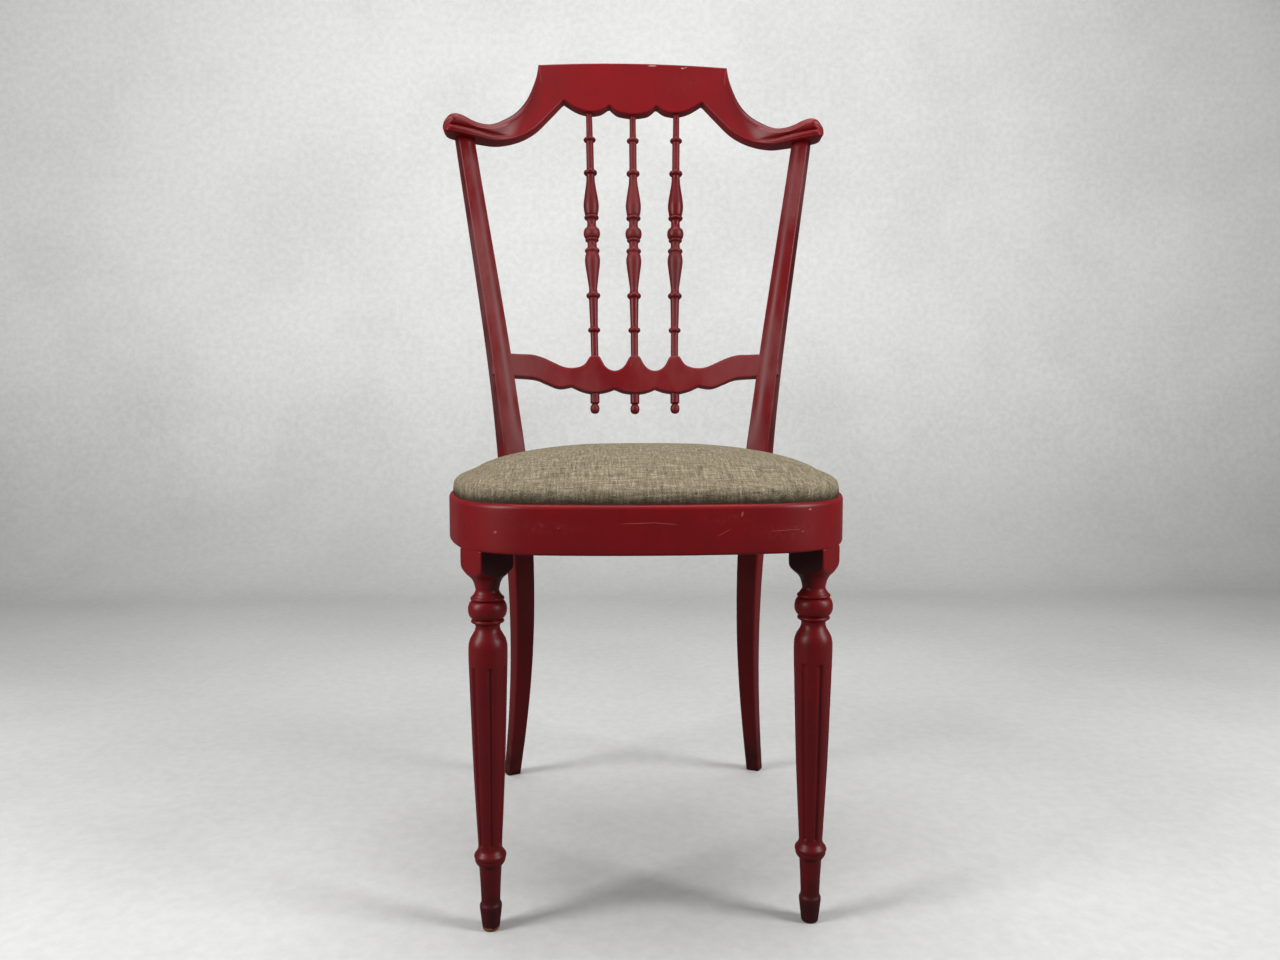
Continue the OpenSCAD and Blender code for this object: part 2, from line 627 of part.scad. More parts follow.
// Places along the spindle are measured from the ball, and up or down from there.
ball_at = spindle_l * 0.505;
spindle_profile = concat(
    [[0, -small_tenon_l], [small_tenon_d / 2, -small_tenon_l], [small_tenon_d / 2, fit_gap]],
    [[spindle_thin_r - 0.2, fit_gap], [spindle_thin_r, ball_at - 132]],
    bead(ball_at - 128.5, 6, spindle_thin_r, 7.9, 6),
    [[spindle_thin_r, ball_at - 124.5], [5.8, ball_at - 88]],
    bead(ball_at - 83, 6.6, 5.9, 9.1, 6),
    spline([[5.4, ball_at - 78], [5.6, ball_at - 73], [8.2, ball_at - 52], [9.8, ball_at - 38],
            [9.2, ball_at - 30], [7.6, ball_at - 26]], 4),
    bead(ball_at - 23, 5, 7.6, 9.65, 6),
    [[5.9, ball_at - 17.5], [5.9, ball_at - 13]],
    bead(ball_at - 8.8, 4.4, 6.4, 8.8, 6),
    bead(ball_at, 14, 7.6, spindle_ball_r, 10),
    [[5.8, ball_at + 11], [5.7, ball_at + 17]],
    bead(ball_at + 21.5, 5, 6.6, 9.5, 6),
    spline([[7.8, ball_at + 25.5], [9.4, ball_at + 31], [10, ball_at + 38], [8.6, ball_at + 54],
            [6.2, ball_at + 68], [5.4, ball_at + 75]], 4),
    bead(ball_at + 82, 6.4, 5.5, 8.8, 6),
    [[spindle_thin_r, ball_at + 89], [spindle_thin_r, ball_at + 123]],
    bead(ball_at + 127, 5.6, spindle_thin_r, 8.05, 6),
    [[spindle_thin_r, ball_at + 131], [4.3, ball_at + 138], [4.1, spindle_l - fit_gap]],
    [[small_tenon_d / 2, spindle_l - fit_gap], [small_tenon_d / 2, spindle_l + small_tenon_l],
     [0, spindle_l + small_tenon_l]]);

module spindle(s) {
    color(paint) place() spindle_place(s) rotate_extrude() polygon(spindle_profile);
}

pendant_profile = concat(
    [[0, -pendant_l], [2.4, -pendant_l]],
    bead(-pendant_l + 6.4, 11, 2.6, 5.9, 10),
    [[4.3, -pendant_l + 12.2], [5.6, -pendant_l + 13.2], [5.8, 0]],
    [[small_tenon_d / 2, 0], [small_tenon_d / 2, small_tenon_l], [0, small_tenon_l]]);

module pendant(s) {
    color(paint) place() pendant_place(s) rotate_extrude() polygon(pendant_profile);
}

// ---- Seat pad ----
cover_inset = rim_w + 0.3;
board_inset = cover_inset + cloth_t + cloth_gap;
margin_inset = ring_t + cover_margin;
board_z = ledge_z + cloth_t;
foam_z = board_z + board_t;
pad_edge_z = seat_h + pad_edge_h;
pad_centre = [0, front_y + seat_d * 0.47];

// A crowned pad: upright sides up to edge_z, then a dome that closes at the pad's centre.
function pad_ring(inset, s, z) =
    [for (p = loop(inset)) let (q = pad_centre + (p - pad_centre) * s) [q[0], q[1], z]];
function pad_rings(inset, low_z, edge_z, crown) =
    concat([pad_ring(inset, 1, low_z), pad_ring(inset, 1, edge_z - 5)],
           [pad_ring(inset + 0.8, 1, edge_z - 2), pad_ring(inset + 3, 1, edge_z)],
           [for (s = [0.93, 0.86, 0.76, 0.64, 0.5, 0.34, 0.16])
               pad_ring(inset + 2, s, edge_z + crown * (1 - pow(s, 2.9)))]);

function backwards(v) = [for (i = [len(v) - 1:-1:0]) v[i]];
// The cover is one closed sheet: down its inside, under the board, and up its outside.
cover_rings = concat(
    backwards(pad_rings(cover_inset + cloth_t, board_z, pad_edge_z - cloth_t, pad_crown_h)),
    [pad_ring(margin_inset, 1, board_z), pad_ring(margin_inset, 1, ledge_z)],
    pad_rings(cover_inset, ledge_z, pad_edge_z, pad_crown_h));

module seat_board() {
    color(bare_wood) place() difference() {
        translate([0, 0, board_z]) ring_fill(board_inset, board_t);
        both_sides() for (s = [front_block, rear_block])
            seat_screw_place(s) cylinder(h = seat_screw_l + fit_gap, d = screw_d + 2 * fit_gap);
        staple_places() staple_legs(fit_gap);
    }
}

// A flat plate with the frame's outline at one inset.
module ring_fill(inset, h) {
    linear_extrude(h) polygon(loop(inset));
}

module seat_foam() {
    color([0.9, 0.85, 0.6]) place()
        skin(pad_rings(board_inset, foam_z, pad_edge_z - cloth_t - cloth_gap, pad_crown_h));
}

module seat_cover() {
    color([0.55, 0.5, 0.4]) place() difference() {
        skin(cover_rings);
        // The screws pierce the cloth in eight-sided holes, which leave it a sound sheet.
        both_sides() for (s = [front_block, rear_block])
            seat_screw_place(s)
                cylinder(h = seat_screw_l, d = (screw_d + 4 * fit_gap) / cos(22.5), $fn = 8);
        staple_places() staple_legs(fit_gap);
    }
}

module corner_block(span, side) {
    color(bare_wood) place() mirror([side < 0 ? 1 : 0, 0, 0]) difference() {
        translate([0, 0, block_z]) linear_extrude(corner_block_h) polygon(block_points(span));
        block_screw_places(span) screw_hole(block_screw_l, screw_d);
        seat_screw_place(span) screw_hole(seat_screw_l, screw_d);
        post_screw_places() screw_hole(post_screw_l, screw_d + 0.5);
    }
}

module block_screws() {
    color(steel) place() both_sides() for (s = [front_block, rear_block])
        block_screw_places(s) screw(block_screw_l, screw_d);
}

module seat_screws() {
    color(steel) place() both_sides() for (s = [front_block, rear_block])
        seat_screw_place(s) screw(seat_screw_l, screw_d);
}

module post_screws() {
    color(steel) place() both_sides() post_screw_places() screw(post_screw_l, screw_d + 0.5);
}

module crest_dowels() {
    color(bare_wood) place() crest_dowel_places() cylinder(h = dowel_l, d = dowel_d);
}

// Staples hold the cover's margin up against the board.
staple_inset = ring_t + cover_margin / 2;
staple_headings = [2.4, 6.6, 24, 46, 68, 80, 90, 100, 110, 164.5, 175.5];
module staple_legs(gap) {
    g = [gap, gap, gap];
    for (x = [-staple_w / 2, staple_w / 2 - staple_wire])
        translate([x, -staple_wire / 2, -staple_wire / 2] - g)
            cube([staple_wire, staple_wire, cloth_t + 5.5] + 2 * g);
}
module staple() {
    translate([-staple_w / 2, -staple_wire / 2, -staple_wire]) cube([staple_w, staple_wire, staple_wire]);
    staple_legs(0);
}

module staple_places() {
    both_sides() for (h = staple_headings)
        let (p = ring_point(h, staple_inset))
            translate([p[0], p[1], ledge_z]) rotate([0, 0, h]) children();
}

module cover_staples() {
    color(steel) place() staple_places() staple();
}

seat_ring();
front_leg(-1);  // front_leg_left
front_leg(1);  // front_leg_right
mirror([1, 0, 0]) rear_post();  // rear_post_left
rear_post();  // rear_post_right
crest_rail();
lower_back_rail();
spindle(-1);  // spindle_left
spindle(0);  // spindle_centre
spindle(1);  // spindle_right
pendant(-1);  // pendant_left
pendant(0);  // pendant_centre
pendant(1);  // pendant_right
seat_board();
seat_foam();
seat_cover();
corner_block(front_block, -1);  // corner_block_front_left
corner_block(front_block, 1);  // corner_block_front_right
corner_block(rear_block, -1);  // corner_block_rear_left
corner_block(rear_block, 1);  // corner_block_rear_right
block_screws();
seat_screws();
post_screws();
crest_dowels();
cover_staples();
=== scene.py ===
# %% [markdown]
# # A spindle-back dining chair in rubbed dark red lacquer
# The chair has a bent-wood seat frame, turned and fluted front legs, two rear posts that
# run from the floor to the crest rail, three turned spindles and a drop-in linen pad.
# Its solid model is already built, so each piece here is given its finer shape and its
# finish, in the same place. Sizes are written in millimetres and turned into metres once.

# %% Load the frame
import math
import bpy
import numpy as np
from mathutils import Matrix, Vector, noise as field


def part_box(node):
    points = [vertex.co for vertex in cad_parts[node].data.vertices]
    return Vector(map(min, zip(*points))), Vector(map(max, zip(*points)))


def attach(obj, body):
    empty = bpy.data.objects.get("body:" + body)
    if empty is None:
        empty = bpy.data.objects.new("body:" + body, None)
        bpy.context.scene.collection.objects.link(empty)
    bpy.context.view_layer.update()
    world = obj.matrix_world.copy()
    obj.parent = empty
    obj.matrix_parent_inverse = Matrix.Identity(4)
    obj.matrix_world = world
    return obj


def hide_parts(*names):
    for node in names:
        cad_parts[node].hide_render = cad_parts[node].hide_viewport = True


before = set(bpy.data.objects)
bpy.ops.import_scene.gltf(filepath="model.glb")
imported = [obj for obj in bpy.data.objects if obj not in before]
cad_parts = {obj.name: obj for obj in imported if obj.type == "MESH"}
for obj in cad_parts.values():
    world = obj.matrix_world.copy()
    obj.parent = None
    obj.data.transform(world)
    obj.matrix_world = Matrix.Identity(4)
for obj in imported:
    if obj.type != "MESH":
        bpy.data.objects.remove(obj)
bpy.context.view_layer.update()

MM = 0.001  # metres in a millimetre

# %% Where the chair stands
# The front legs' axes lie on one line across the chair, and every depth is measured from it.
leg_low, leg_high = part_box("front_leg_right")
leg_x = (leg_low.x + leg_high.x) / 2 / MM
leg_line_y = (leg_low.y + leg_high.y) / 2 / MM
print("front legs at x", round(leg_x, 1), "y", round(leg_line_y, 1), "mm")

# %% [markdown]
# ## Curves that a turner and a joiner would draw
# Turnings and bent parts are drawn as a few points with a smooth curve through them.
# A Catmull-Rom curve passes through its own points, so a size read off the object can be
# used as it is, which a Bezier or a subdivided cage would pull away from.

# %% A smooth curve through points
def smooth_through(knots, steps=8):
    knots = np.array(knots, float)
    out = []
    for i in range(len(knots) - 1):
        a, b, c, d = (knots[max(i - 1, 0)], knots[i], knots[i + 1], knots[min(i + 2, len(knots) - 1)])
        for t in np.arange(steps) / steps:
            out.append(0.5 * (2 * b + (c - a) * t + (2 * a - 5 * b + 4 * c - d) * t ** 2
                              + (3 * b - a - 3 * c + d) * t ** 3))
    out.append(knots[-1])
    return np.array(out)


def smooth_tuples(knots, steps=8):
    """The same curve as a list, to be joined to other stretches of a profile."""
    return list(map(tuple, smooth_through(knots, steps)))


def bead(z, height, r_in, r_out, steps=12):
    """A half-round ring on a turning."""
    return [(r_in + (r_out - r_in) * math.cos(a), z + height / 2 * math.sin(a))
            for a in np.linspace(-math.pi / 2, math.pi / 2, steps + 1)]


def even_steps(points, step):
    """The same line with a point about every step."""
    points = np.array(points, float)
    along = np.concatenate([[0], np.cumsum(np.hypot(*np.diff(points, axis=0).T))])
    at = np.linspace(0, along[-1], max(int(along[-1] / step), 2) + 1)
    return np.stack([np.interp(at, along, points[:, k]) for k in range(points.shape[1])], axis=1)


def ease(x, low, high):
    """0 below low, 1 above high and a smooth rise between."""
    t = np.clip((np.asarray(x, float) - low) / (high - low), 0, 1)
    return t * t * (3 - 2 * t)


print("a bead's widest point", bead(0, 8, 10, 14)[6])

# %% [markdown]
# ## From rows of points to a piece
# Every wooden piece here is a stack of closed rows of points: round a turning, round a
# post, or round the section of a rail. Joining each row to the next gives clean
# four-sided faces that shade smoothly, and no clean-up is needed.

# %% Rows of points into a mesh
def skin_rows(rows, closed_stack=False):
    """Vertices and faces of closed rows joined one to the next, with end caps unless the stack closes."""
    rows = np.array(rows, float)
    count, around = rows.shape[:2]
    verts = rows.reshape(-1, 3)
    faces = []
    for k in range(count if closed_stack else count - 1):
        a, b = k * around, ((k + 1) % count) * around
        faces += [(a + i, a + (i + 1) % around, b + (i + 1) % around, b + i) for i in range(around)]
    if not closed_stack:
        verts = np.vstack([verts, rows[0].mean(axis=0), rows[-1].mean(axis=0)])
        low, high = count * around, count * around + 1
        top = (count - 1) * around
        faces += [(low, (i + 1) % around, i) for i in range(around)]
        faces += [(high, top + i, top + (i + 1) % around) for i in range(around)]
    return verts, faces


def new_piece(name, verts, faces, finish, nodes):
    """A smooth-shaded piece in place of the named solid nodes."""
    mesh = bpy.data.meshes.new(name)
    mesh.from_pydata([tuple(v) for v in np.array(verts) * MM], [], faces)
    mesh.update()
    for face in mesh.polygons:
        face.use_smooth = True
    mesh.materials.append(finish)
    piece = bpy.data.objects.new(name, mesh)
    bpy.context.scene.collection.objects.link(piece)
    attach(piece, "root")
    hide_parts(*nodes)
    print(name, len(mesh.polygons), "faces")
    return piece


# %% [markdown]
# ## Writing finishes as sums
# A finish is a handful of masks added and multiplied together. Wrapping a socket in a
# small class lets those sums be written as sums, so that the recipe can be read.

# %% A socket that can be used in sums
class Wire:
    """A node's output socket, which can be added, multiplied and so on."""

    def __init__(self, tree, socket):
        self.tree, self.socket = tree, socket

    def _math(self, operation, *values):
        return make_node(self.tree, "ShaderNodeMath", {"operation": operation},
                         **{f"i{k}": v for k, v in enumerate(values)})

    def __add__(self, other): return self._math("ADD", self, other)
    def __radd__(self, other): return self._math("ADD", other, self)
    def __sub__(self, other): return self._math("SUBTRACT", self, other)
    def __rsub__(self, other): return self._math("SUBTRACT", other, self)
    def __mul__(self, other): return self._math("MULTIPLY", self, other)
    def __rmul__(self, other): return self._math("MULTIPLY", other, self)
    def __pow__(self, other): return self._math("POWER", self, other)
    def larger(self, other): return self._math("MAXIMUM", self, other)

    def between(self, low, high):
        """0 below low, 1 above high and a smooth rise between."""
        return make_node(self.tree, "ShaderNodeMapRange", {"interpolation_type": "SMOOTHSTEP", "clamp": True},
                         Value=self, From_Min=low, From_Max=high)


def make_node(tree, kind, settings=None, out=0, **inputs):
    """Any node: its type, its settings, and values or wires for its sockets, by name or as i0, i1, ..."""
    node = tree.nodes.new(kind)
    for key, value in (settings or {}).items():
        setattr(node, key, value)
    for key, value in inputs.items():
        name = key.replace("_", " ")
        socket = node.inputs[int(key[1:])] if key[0] == "i" and key[1:].isdigit() else node.inputs[name]
        if isinstance(value, Wire):
            tree.links.new(value.socket, socket)
        else:
            socket.default_value = value
    return Wire(tree, node.outputs[out])


def mix_colours(factor, under, over):
    """under where the factor is 0, over where it is 1."""
    node = make_node(factor.tree, "ShaderNodeMix", {"data_type": "RGBA"}, 2, i0=factor)
    for index, value in ((6, under), (7, over)):
        socket = node.socket.node.inputs[index]
        if isinstance(value, Wire):
            factor.tree.links.new(value.socket, socket)
        else:
            socket.default_value = (*value, 1)
    return node


def written(red, green, blue):
    """A colour as a paint chart gives it, 0 to 255, turned into the light it returns."""
    return tuple(((c / 255 + 0.055) / 1.055) ** 2.4 if c > 10 else c / 255 / 12.92
                 for c in (red, green, blue))


print("lacquer red as light", [round(c, 3) for c in written(130, 20, 26)])

# %% [markdown]
# ## The lacquer
# The wood is sprayed dark red under a thin tinted glaze. The glaze pools in the grooves,
# where it reads nearly brown, and it is rubbed thin on the arrises, where the red is
# Handling has left faint cloudy scuffs, some short scratches and a few chips. The red is also
# darkened as painted shade below the seat and on chosen faces, and a pale painted sheen lies
# over some parts. The colour is kept apart from the gloss: dirt and scuffs raise the roughness as well.

# %% Starting a finish
def new_finish(name):
    """A new material, with its nodes, its shader and the place on the object as a wire."""
    finish = bpy.data.materials.new(name)
    finish.use_nodes = True
    tree = finish.node_tree
    shader = tree.nodes["Principled BSDF"]
    place = make_node(tree, "ShaderNodeTexCoord", out=3)
    return finish, tree, shader, place


def feed(tree, shader, **inputs):
    """Values or wires for the shader's sockets, by name."""
    for key, value in inputs.items():
        socket = shader.inputs[key.replace("_", " ")]
        if isinstance(value, Wire):
            tree.links.new(value.socket, socket)
        else:
            socket.default_value = (*value, 1) if isinstance(value, tuple) and len(value) == 3 else value


def noise(place, scale, detail=3.0, roughness=0.5, stretch=(1, 1, 1)):
    """Cloudy noise between 0 and 1; a small number in stretch draws it out along that axis."""
    stretched = make_node(place.tree, "ShaderNodeMapping", Vector=place, Scale=stretch)
    return make_node(place.tree, "ShaderNodeTexNoise", Vector=stretched, Scale=scale,
                     Detail=detail, Roughness=roughness)


def position_parts(place):
    """The three parts of a vector wire."""
    parts = make_node(place.tree, "ShaderNodeSeparateXYZ", Vector=place)
    return [Wire(place.tree, parts.socket.node.outputs[k]) for k in range(3)]


# %% Marks that stand at one place
def mark(place, centre, half_size, fray=0.35, turn=0.0, fade_from=0.85):
    """A soft-edged patch about centre: 1 inside, 0 outside. Sizes in millimetres, turn in degrees about Y."""
    moved = make_node(place.tree, "ShaderNodeVectorMath", {"operation": "SUBTRACT"}, 0,
                      i0=place, i1=tuple(c * MM for c in centre))
    turned = make_node(place.tree, "ShaderNodeVectorRotate", {"rotation_type": "Y_AXIS"}, 0,
                       Vector=moved, Angle=math.radians(turn))
    scaled = make_node(place.tree, "ShaderNodeVectorMath", {"operation": "DIVIDE"}, 0,
                       i0=turned, i1=tuple(h * MM for h in half_size))
    far = make_node(place.tree, "ShaderNodeVectorMath", {"operation": "LENGTH"}, 1, i0=scaled)
    ragged = far + (noise(place, 900, 2) - 0.5) * fray
    return 1 - ragged.between(fade_from, 1.1)


# %% The lacquer's recipe
glaze_red = written(128, 16, 22)
# The dark glaze colour also serves as the colour of the painted shade.
glaze_and_shade_dark = written(40, 8, 11)
rubbed_red = written(158, 44, 46)
bare_timber = written(188, 146, 128)
cloudy = written(168, 96, 92)
scratched = written(176, 104, 98)
# The pale colour of the painted sheen.
painted_sheen_colour = written(150, 104, 102)


def strongest(marks, place):
    """The strongest of several marks at each place."""
    most = marks[0](place)
    for one in marks[1:]:
        most = most.larger(one(place))
    return most


def lacquer(name, chips=(), scratches=(), scuffs=(), dark=(), arrises=True, painted_shade_side=0, painted_shade_block=0,
            foot_dirt=False, worn_foot=None, depth=0.0, painted_sheen=0.0):
    """Dark red lacquer. The marks are patches, and dark holds patches of painted shade; painted_shade_side
    and painted_shade_block name the side, -1 or 1, of the part whose outer post face or inner block face gets
    painted shade;
    worn_foot is the stretch across a foot that has lost its lacquer; depth, a painted shade over the part,
    and haze, a painted sheen, run from 0 to 1."""
    finish, tree, shader, place = new_finish(name)
    x, y, z = position_parts(place)
    bend = make_node(tree, "ShaderNodeNewGeometry", None, 7)
    recess = (1 - bend.between(0.40, 0.49)) * float(arrises)
    arris = bend.between(0.54, 0.62) * float(arrises)
    mottle = noise(place, 14, 4, 0.6)
    streak = noise(place, 60, 3, 0.6, (1, 1, 0.12))
    red = mix_colours(mottle.between(0.35, 0.7) * 0.45 + streak.between(0.4, 0.75) * 0.2,
                      glaze_red, written(104, 13, 19))
    # Painted shade: below the seat, where less light falls, and in the dark patches, the red is darkened.
    shaded = 1 - z.between(0.19, 0.42)
    # Painted shade: depth darkens the whole part, a little unevenly, as if it were less lit.
    if depth:
        uneven = noise(place, 11, 3, 0.6, (1, 1, 0.5)).between(0.25, 0.6)
        shaded = shaded.larger(uneven * 0.35 * depth + depth * 0.65)
    # Painted shade: each dark patch darkens the red further.
    for shade_patch in dark:
        shaded = shaded.larger(shade_patch(place) * 1.9)
    if painted_shade_side or painted_shade_block:
        facing_x = position_parts(make_node(tree, "ShaderNodeNewGeometry", None, 1))[0]
    # Painted shade: the post's outer side face above the seat is darkened, as if the lights missed it.
    if painted_shade_side:
        facing = facing_x * painted_shade_side
        shaded = shaded.larger(facing.between(0.45, 0.8) * z.between(0.40, 0.46) * 1.5)
    # Painted shade: the leg block's inner faces under the seat are darkened.
    if painted_shade_block:
        inner = facing_x * -painted_shade_block
        shaded = shaded.larger(inner.between(0.1, 0.55) * z.between(0.300, 0.335) * 1.75)
    red = mix_colours(shaded * 0.48, red, glaze_and_shade_dark)
    red = mix_colours(recess * 0.8, red, glaze_and_shade_dark)
    red = mix_colours(arris * noise(place, 120, 3).between(0.3, 0.6) * 0.45, red, rubbed_red)
    rough = 0.34 + mottle * 0.10 + recess * 0.18
    # Painted sheen: a pale cloudy film over the parts above the seat stands in for the lights' soft
    # reflection.
    if painted_sheen:
        painted_sheen_mask = noise(place, 17, 4, 0.6, (1, 1, 0.45)).between(0.38, 0.62) * z.between(0.42, 0.50)
        red = mix_colours(painted_sheen_mask * painted_sheen, red, painted_sheen_colour)
        rough = rough + painted_sheen_mask * 0.12
    specks = noise(place, 420, 1).between(0.735, 0.76) * noise(place, 9, 1).between(0.5, 0.62)
    red = mix_colours(specks * 0.5, red, rubbed_red)
    if scuffs:
        veil = strongest(scuffs, place) * noise(place, 210, 5, 0.75).between(0.45, 0.8)
        red = mix_colours(veil * 0.2, red, cloudy)
        rough = rough + veil * 0.12
    for marks, shows, strength in ((scratches, scratched, 0.55), (chips, bare_timber, 0.8)):
        if marks:
            bare = strongest(marks, place)
            red = mix_colours(bare * strength, red, shows)
            rough = rough + bare * 0.3
    if foot_dirt:
        grime = (1 - z.between(0.004, 0.085)) * noise(place, 55, 4).between(0.2, 0.6)
        red = mix_colours(grime * 0.75, red, written(26, 9, 11))
        rough = rough + grime * 0.15
    if worn_foot:
        ragged_z = z + (noise(place, 160, 3) - 0.5) * 0.006
        rim = (1 - ragged_z.between(0.0025, 0.0042)) * x.between(*worn_foot)
        red = mix_colours(rim, red, written(128, 84, 60))
        rough = rough + rim * 0.3
    ripple = noise(place, 240, 2) * 0.5 + noise(place, 38, 3, 0.5, (1, 1, 0.25))
    bump = make_node(tree, "ShaderNodeBump", Strength=0.10, Distance=0.0008, Height=ripple)
    feed(tree, shader, Base_Color=red, Roughness=rough, Normal=bump, IOR=1.48, Specular_IOR_Level=0.26)
    return finish


def patch(*args, **options):
    """A mark with a soft edge, to be placed when its finish is made."""
    return lambda place: mark(place, *args, **options)


def soft_patch(centre, half_size, turn=0.0):
    """A patch that fades all the way from its middle."""
    return lambda place: mark(place, centre, half_size, 0.1, turn, 0.1)


# The plain lacquer has a strong painted shade over the whole part and a faint painted sheen.
plain_lacquer = lacquer("lacquer_plain", depth=0.95, painted_sheen=0.08)
print("lacquer nodes", len(plain_lacquer.node_tree.nodes))

# %% [markdown]
# ## The seat frame
# The frame is a flat ring of wood, nearly a square with bowed sides. Its plan is five
# tangent arcs a side. Sweeping one section round that plan keeps the rounded top edge, the
# eased bottom edge and the rebate for the pad even all the way, as a spindle moulder
# would cut them. The arcs' outward headings place every point.

# %% The frame's plan
seat_w, seat_d, seat_h = 402.0, 403.0, 404.0
ring_h, ring_t, rim_w, rebate_d = 44.5, 34.0, 5.0, 8.0
headings = np.radians([0, 8.2, 71, 114.3, 158.2, 180])
front_corner_r, rear_corner_r = 91.0, 47.0
sn, cn = np.sin(headings), np.cos(headings)
rear_k = (1 + cn[4]) / sn[4]
front_k = (1 - cn[1]) / sn[1]
half_w = seat_w / 2
side_r = ((seat_d - (half_w - front_corner_r * (sn[2] - sn[1])) * front_k
           - front_corner_r * (cn[1] - cn[2]) - rear_corner_r * (cn[3] - cn[4])
           - (half_w + rear_corner_r * (sn[4] - sn[3])) * rear_k)
          / (-(1 - sn[2]) * front_k + cn[2] - cn[3] - (1 - sn[3]) * rear_k))
front_r = (half_w - front_corner_r * (sn[2] - sn[1]) - side_r * (1 - sn[2])) / sn[1]
rear_r = (half_w - side_r * (1 - sn[3]) + rear_corner_r * (sn[4] - sn[3])) / sn[4]
arc_radii = [front_r, front_corner_r, side_r, rear_corner_r, rear_r]
seat_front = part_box("seat_ring")[0].y / MM
arc_centres = [np.array([0, seat_front + front_r])]
for i in range(4):
    arc_centres.append(arc_centres[i] + (arc_radii[i] - arc_radii[i + 1])
                       * np.array([sn[i + 1], -cn[i + 1]]))


def plan_point(heading, inset):
    """A point of the frame's plan at an outward heading in radians, that far inside its edge."""
    side = 1 if heading <= math.pi else -1
    h = heading if side == 1 else 2 * math.pi - heading
    i = min(int(np.searchsorted(headings, h, side="left")), 5) - 1
    p = arc_centres[max(i, 0)] + (arc_radii[max(i, 0)] - inset) * np.array([math.sin(h), -math.cos(h)])
    return np.array([side * p[0], p[1]])


half_headings = np.concatenate([np.linspace(headings[i], headings[i + 1], n, endpoint=False)
                                for i, n in enumerate((14, 34, 34, 24, 14))])
all_headings = np.concatenate([half_headings, [math.pi], (2 * math.pi - half_headings[1:])[::-1]])
seat_centre = np.array([0, seat_front + seat_d * 0.47])
print("plan radii", [round(r, 1) for r in arc_radii], "points", len(all_headings))


# %% The frame's section, swept round the plan
def rounded_corner(centre, radius, start, end, steps=6):
    return [(centre[0] + radius * math.cos(a), centre[1] + radius * math.sin(a))
            for a in np.radians(np.linspace(start, end, steps + 1))]


ring_low = seat_h - ring_h
ledge = seat_h - rebate_d
# Pairs of inset from the outer face and height, going round the section.
ring_section = (rounded_corner((2.4, ring_low + 2.4), 2.4, 270, 180)
                + [(0, z) for z in np.linspace(ring_low + 6, seat_h - 8, 9)]
                + rounded_corner((4.3, seat_h - 4.3), 4.3, 180, 92, 10)
                + [(rim_w - 0.1, seat_h - 0.1), (rim_w, seat_h - 0.8), (rim_w, ledge + 0.3),
                   (rim_w + 0.3, ledge), (ring_t - 0.6, ledge), (ring_t, ledge - 0.6),
                   (ring_t, ring_low + 1), (ring_t - 1, ring_low)])


def swept_round(section):
    """The rows of a section of insets and heights, carried round the plan."""
    return [[(*plan_point(h, inset), z) for inset, z in section] for h in all_headings]


verts, faces = skin_rows(swept_round(ring_section), closed_stack=True)

seat_chips = [patch((139, seat_front + 14, 398), (1.6, 9, 0.8), 0.7)]
seat_scratches = [patch((-140, seat_front + 20, 379), (1.6, 8, 1.3), 0.9, 20),
                  patch((-84, seat_front + 7, 384), (0.8, 7, 0.6), 0.8),
                  patch((76, seat_front + 5, 395.5), (0.9, 8, 2.4), 0.6, -12),
                  patch((-14, seat_front + 2, 388.3), (17, 6, 0.30), 0.5, 2),
                  patch((8, seat_front + 2, 387.9), (12, 6, 0.26), 0.5, -5),
                  patch((117, seat_front + 8, 380.5), (17, 8, 0.24), 0.7, 2),
                  patch((132, seat_front + 10, 378.5), (2.0, 8, 0.6), 0.8),
                  patch((60, seat_front + 4, 379.5), (7, 6, 0.22), 0.8, 28)]
seat_scuffs = [soft_patch((118, seat_front + 12, 379), (50, 26, 11)),
               soft_patch((-90, seat_front + 10, 384), (40, 24, 9)),
               soft_patch((60, seat_front + 6, 392), (32, 18, 7))]
seat_lacquer = lacquer("lacquer_seat_frame", chips=seat_chips, scratches=seat_scratches, scuffs=seat_scuffs)
new_piece("seat_frame", verts, [f[::-1] for f in faces], seat_lacquer, ["seat_ring"])

# %% [markdown]
# ## The front legs
# Each front leg is turned from one square of wood: a tapering foot, a double ring, a
# fluted shaft that swells to its shoulder, a ball between two collars and a bowl that
# runs out into the square block under the seat. A lathe makes a radius for each height,
# so the leg is one radius for each height and turn, and the flutes and the block are
# written into that radius: a flute takes a little off, and the block caps the bowl.

# %% The turner's profile
shoulder = ring_low - 99.5
foot_part = [(0.5, 0), (6.6, 0), (7.8, 1.0), (8.5, 6), (10.0, 18.5), (10.35, 21.8), (10.3, 23.9), (9.8, 25.0),
             (9.2, 25.9), (8.9, 27.5), (8.8, 29.3), (9.5, 46), (10.4, 61)]
double_ring = (smooth_tuples([(10.4, 61.8), (12.0, 63.4), (13.5, 65.6), (14.2, 67.6), (14.1, 68.7)], 4)
               + [(13.6, 69.2)]
               + smooth_tuples([(14.5, 69.9), (14.95, 71.3), (14.5, 73.2), (13.0, 75.2), (11.7, 77.2),
                                (11.1, 79.4)], 4))
shaft = smooth_tuples([(11.0, 81), (11.8, 97), (12.9, 118), (14.8, 160), (16.6, shoulder - 44),
                       (17.3, shoulder - 20), (17.8, shoulder - 4), (17.85, shoulder + 7),
                       (17.5, shoulder + 12), (16.2, shoulder + 16.6), (14.0, shoulder + 20.6),
                       (12.1, shoulder + 24), (11.2, shoulder + 27.6), (11.8, shoulder + 30.4)])
ball_part = (bead(shoulder + 33.2, 3.6, 13.2, 15.2) + bead(shoulder + 44, 16.8, 13.2, 17.8, 22)
             + bead(shoulder + 54.2, 3.8, 13.4, 15.5))
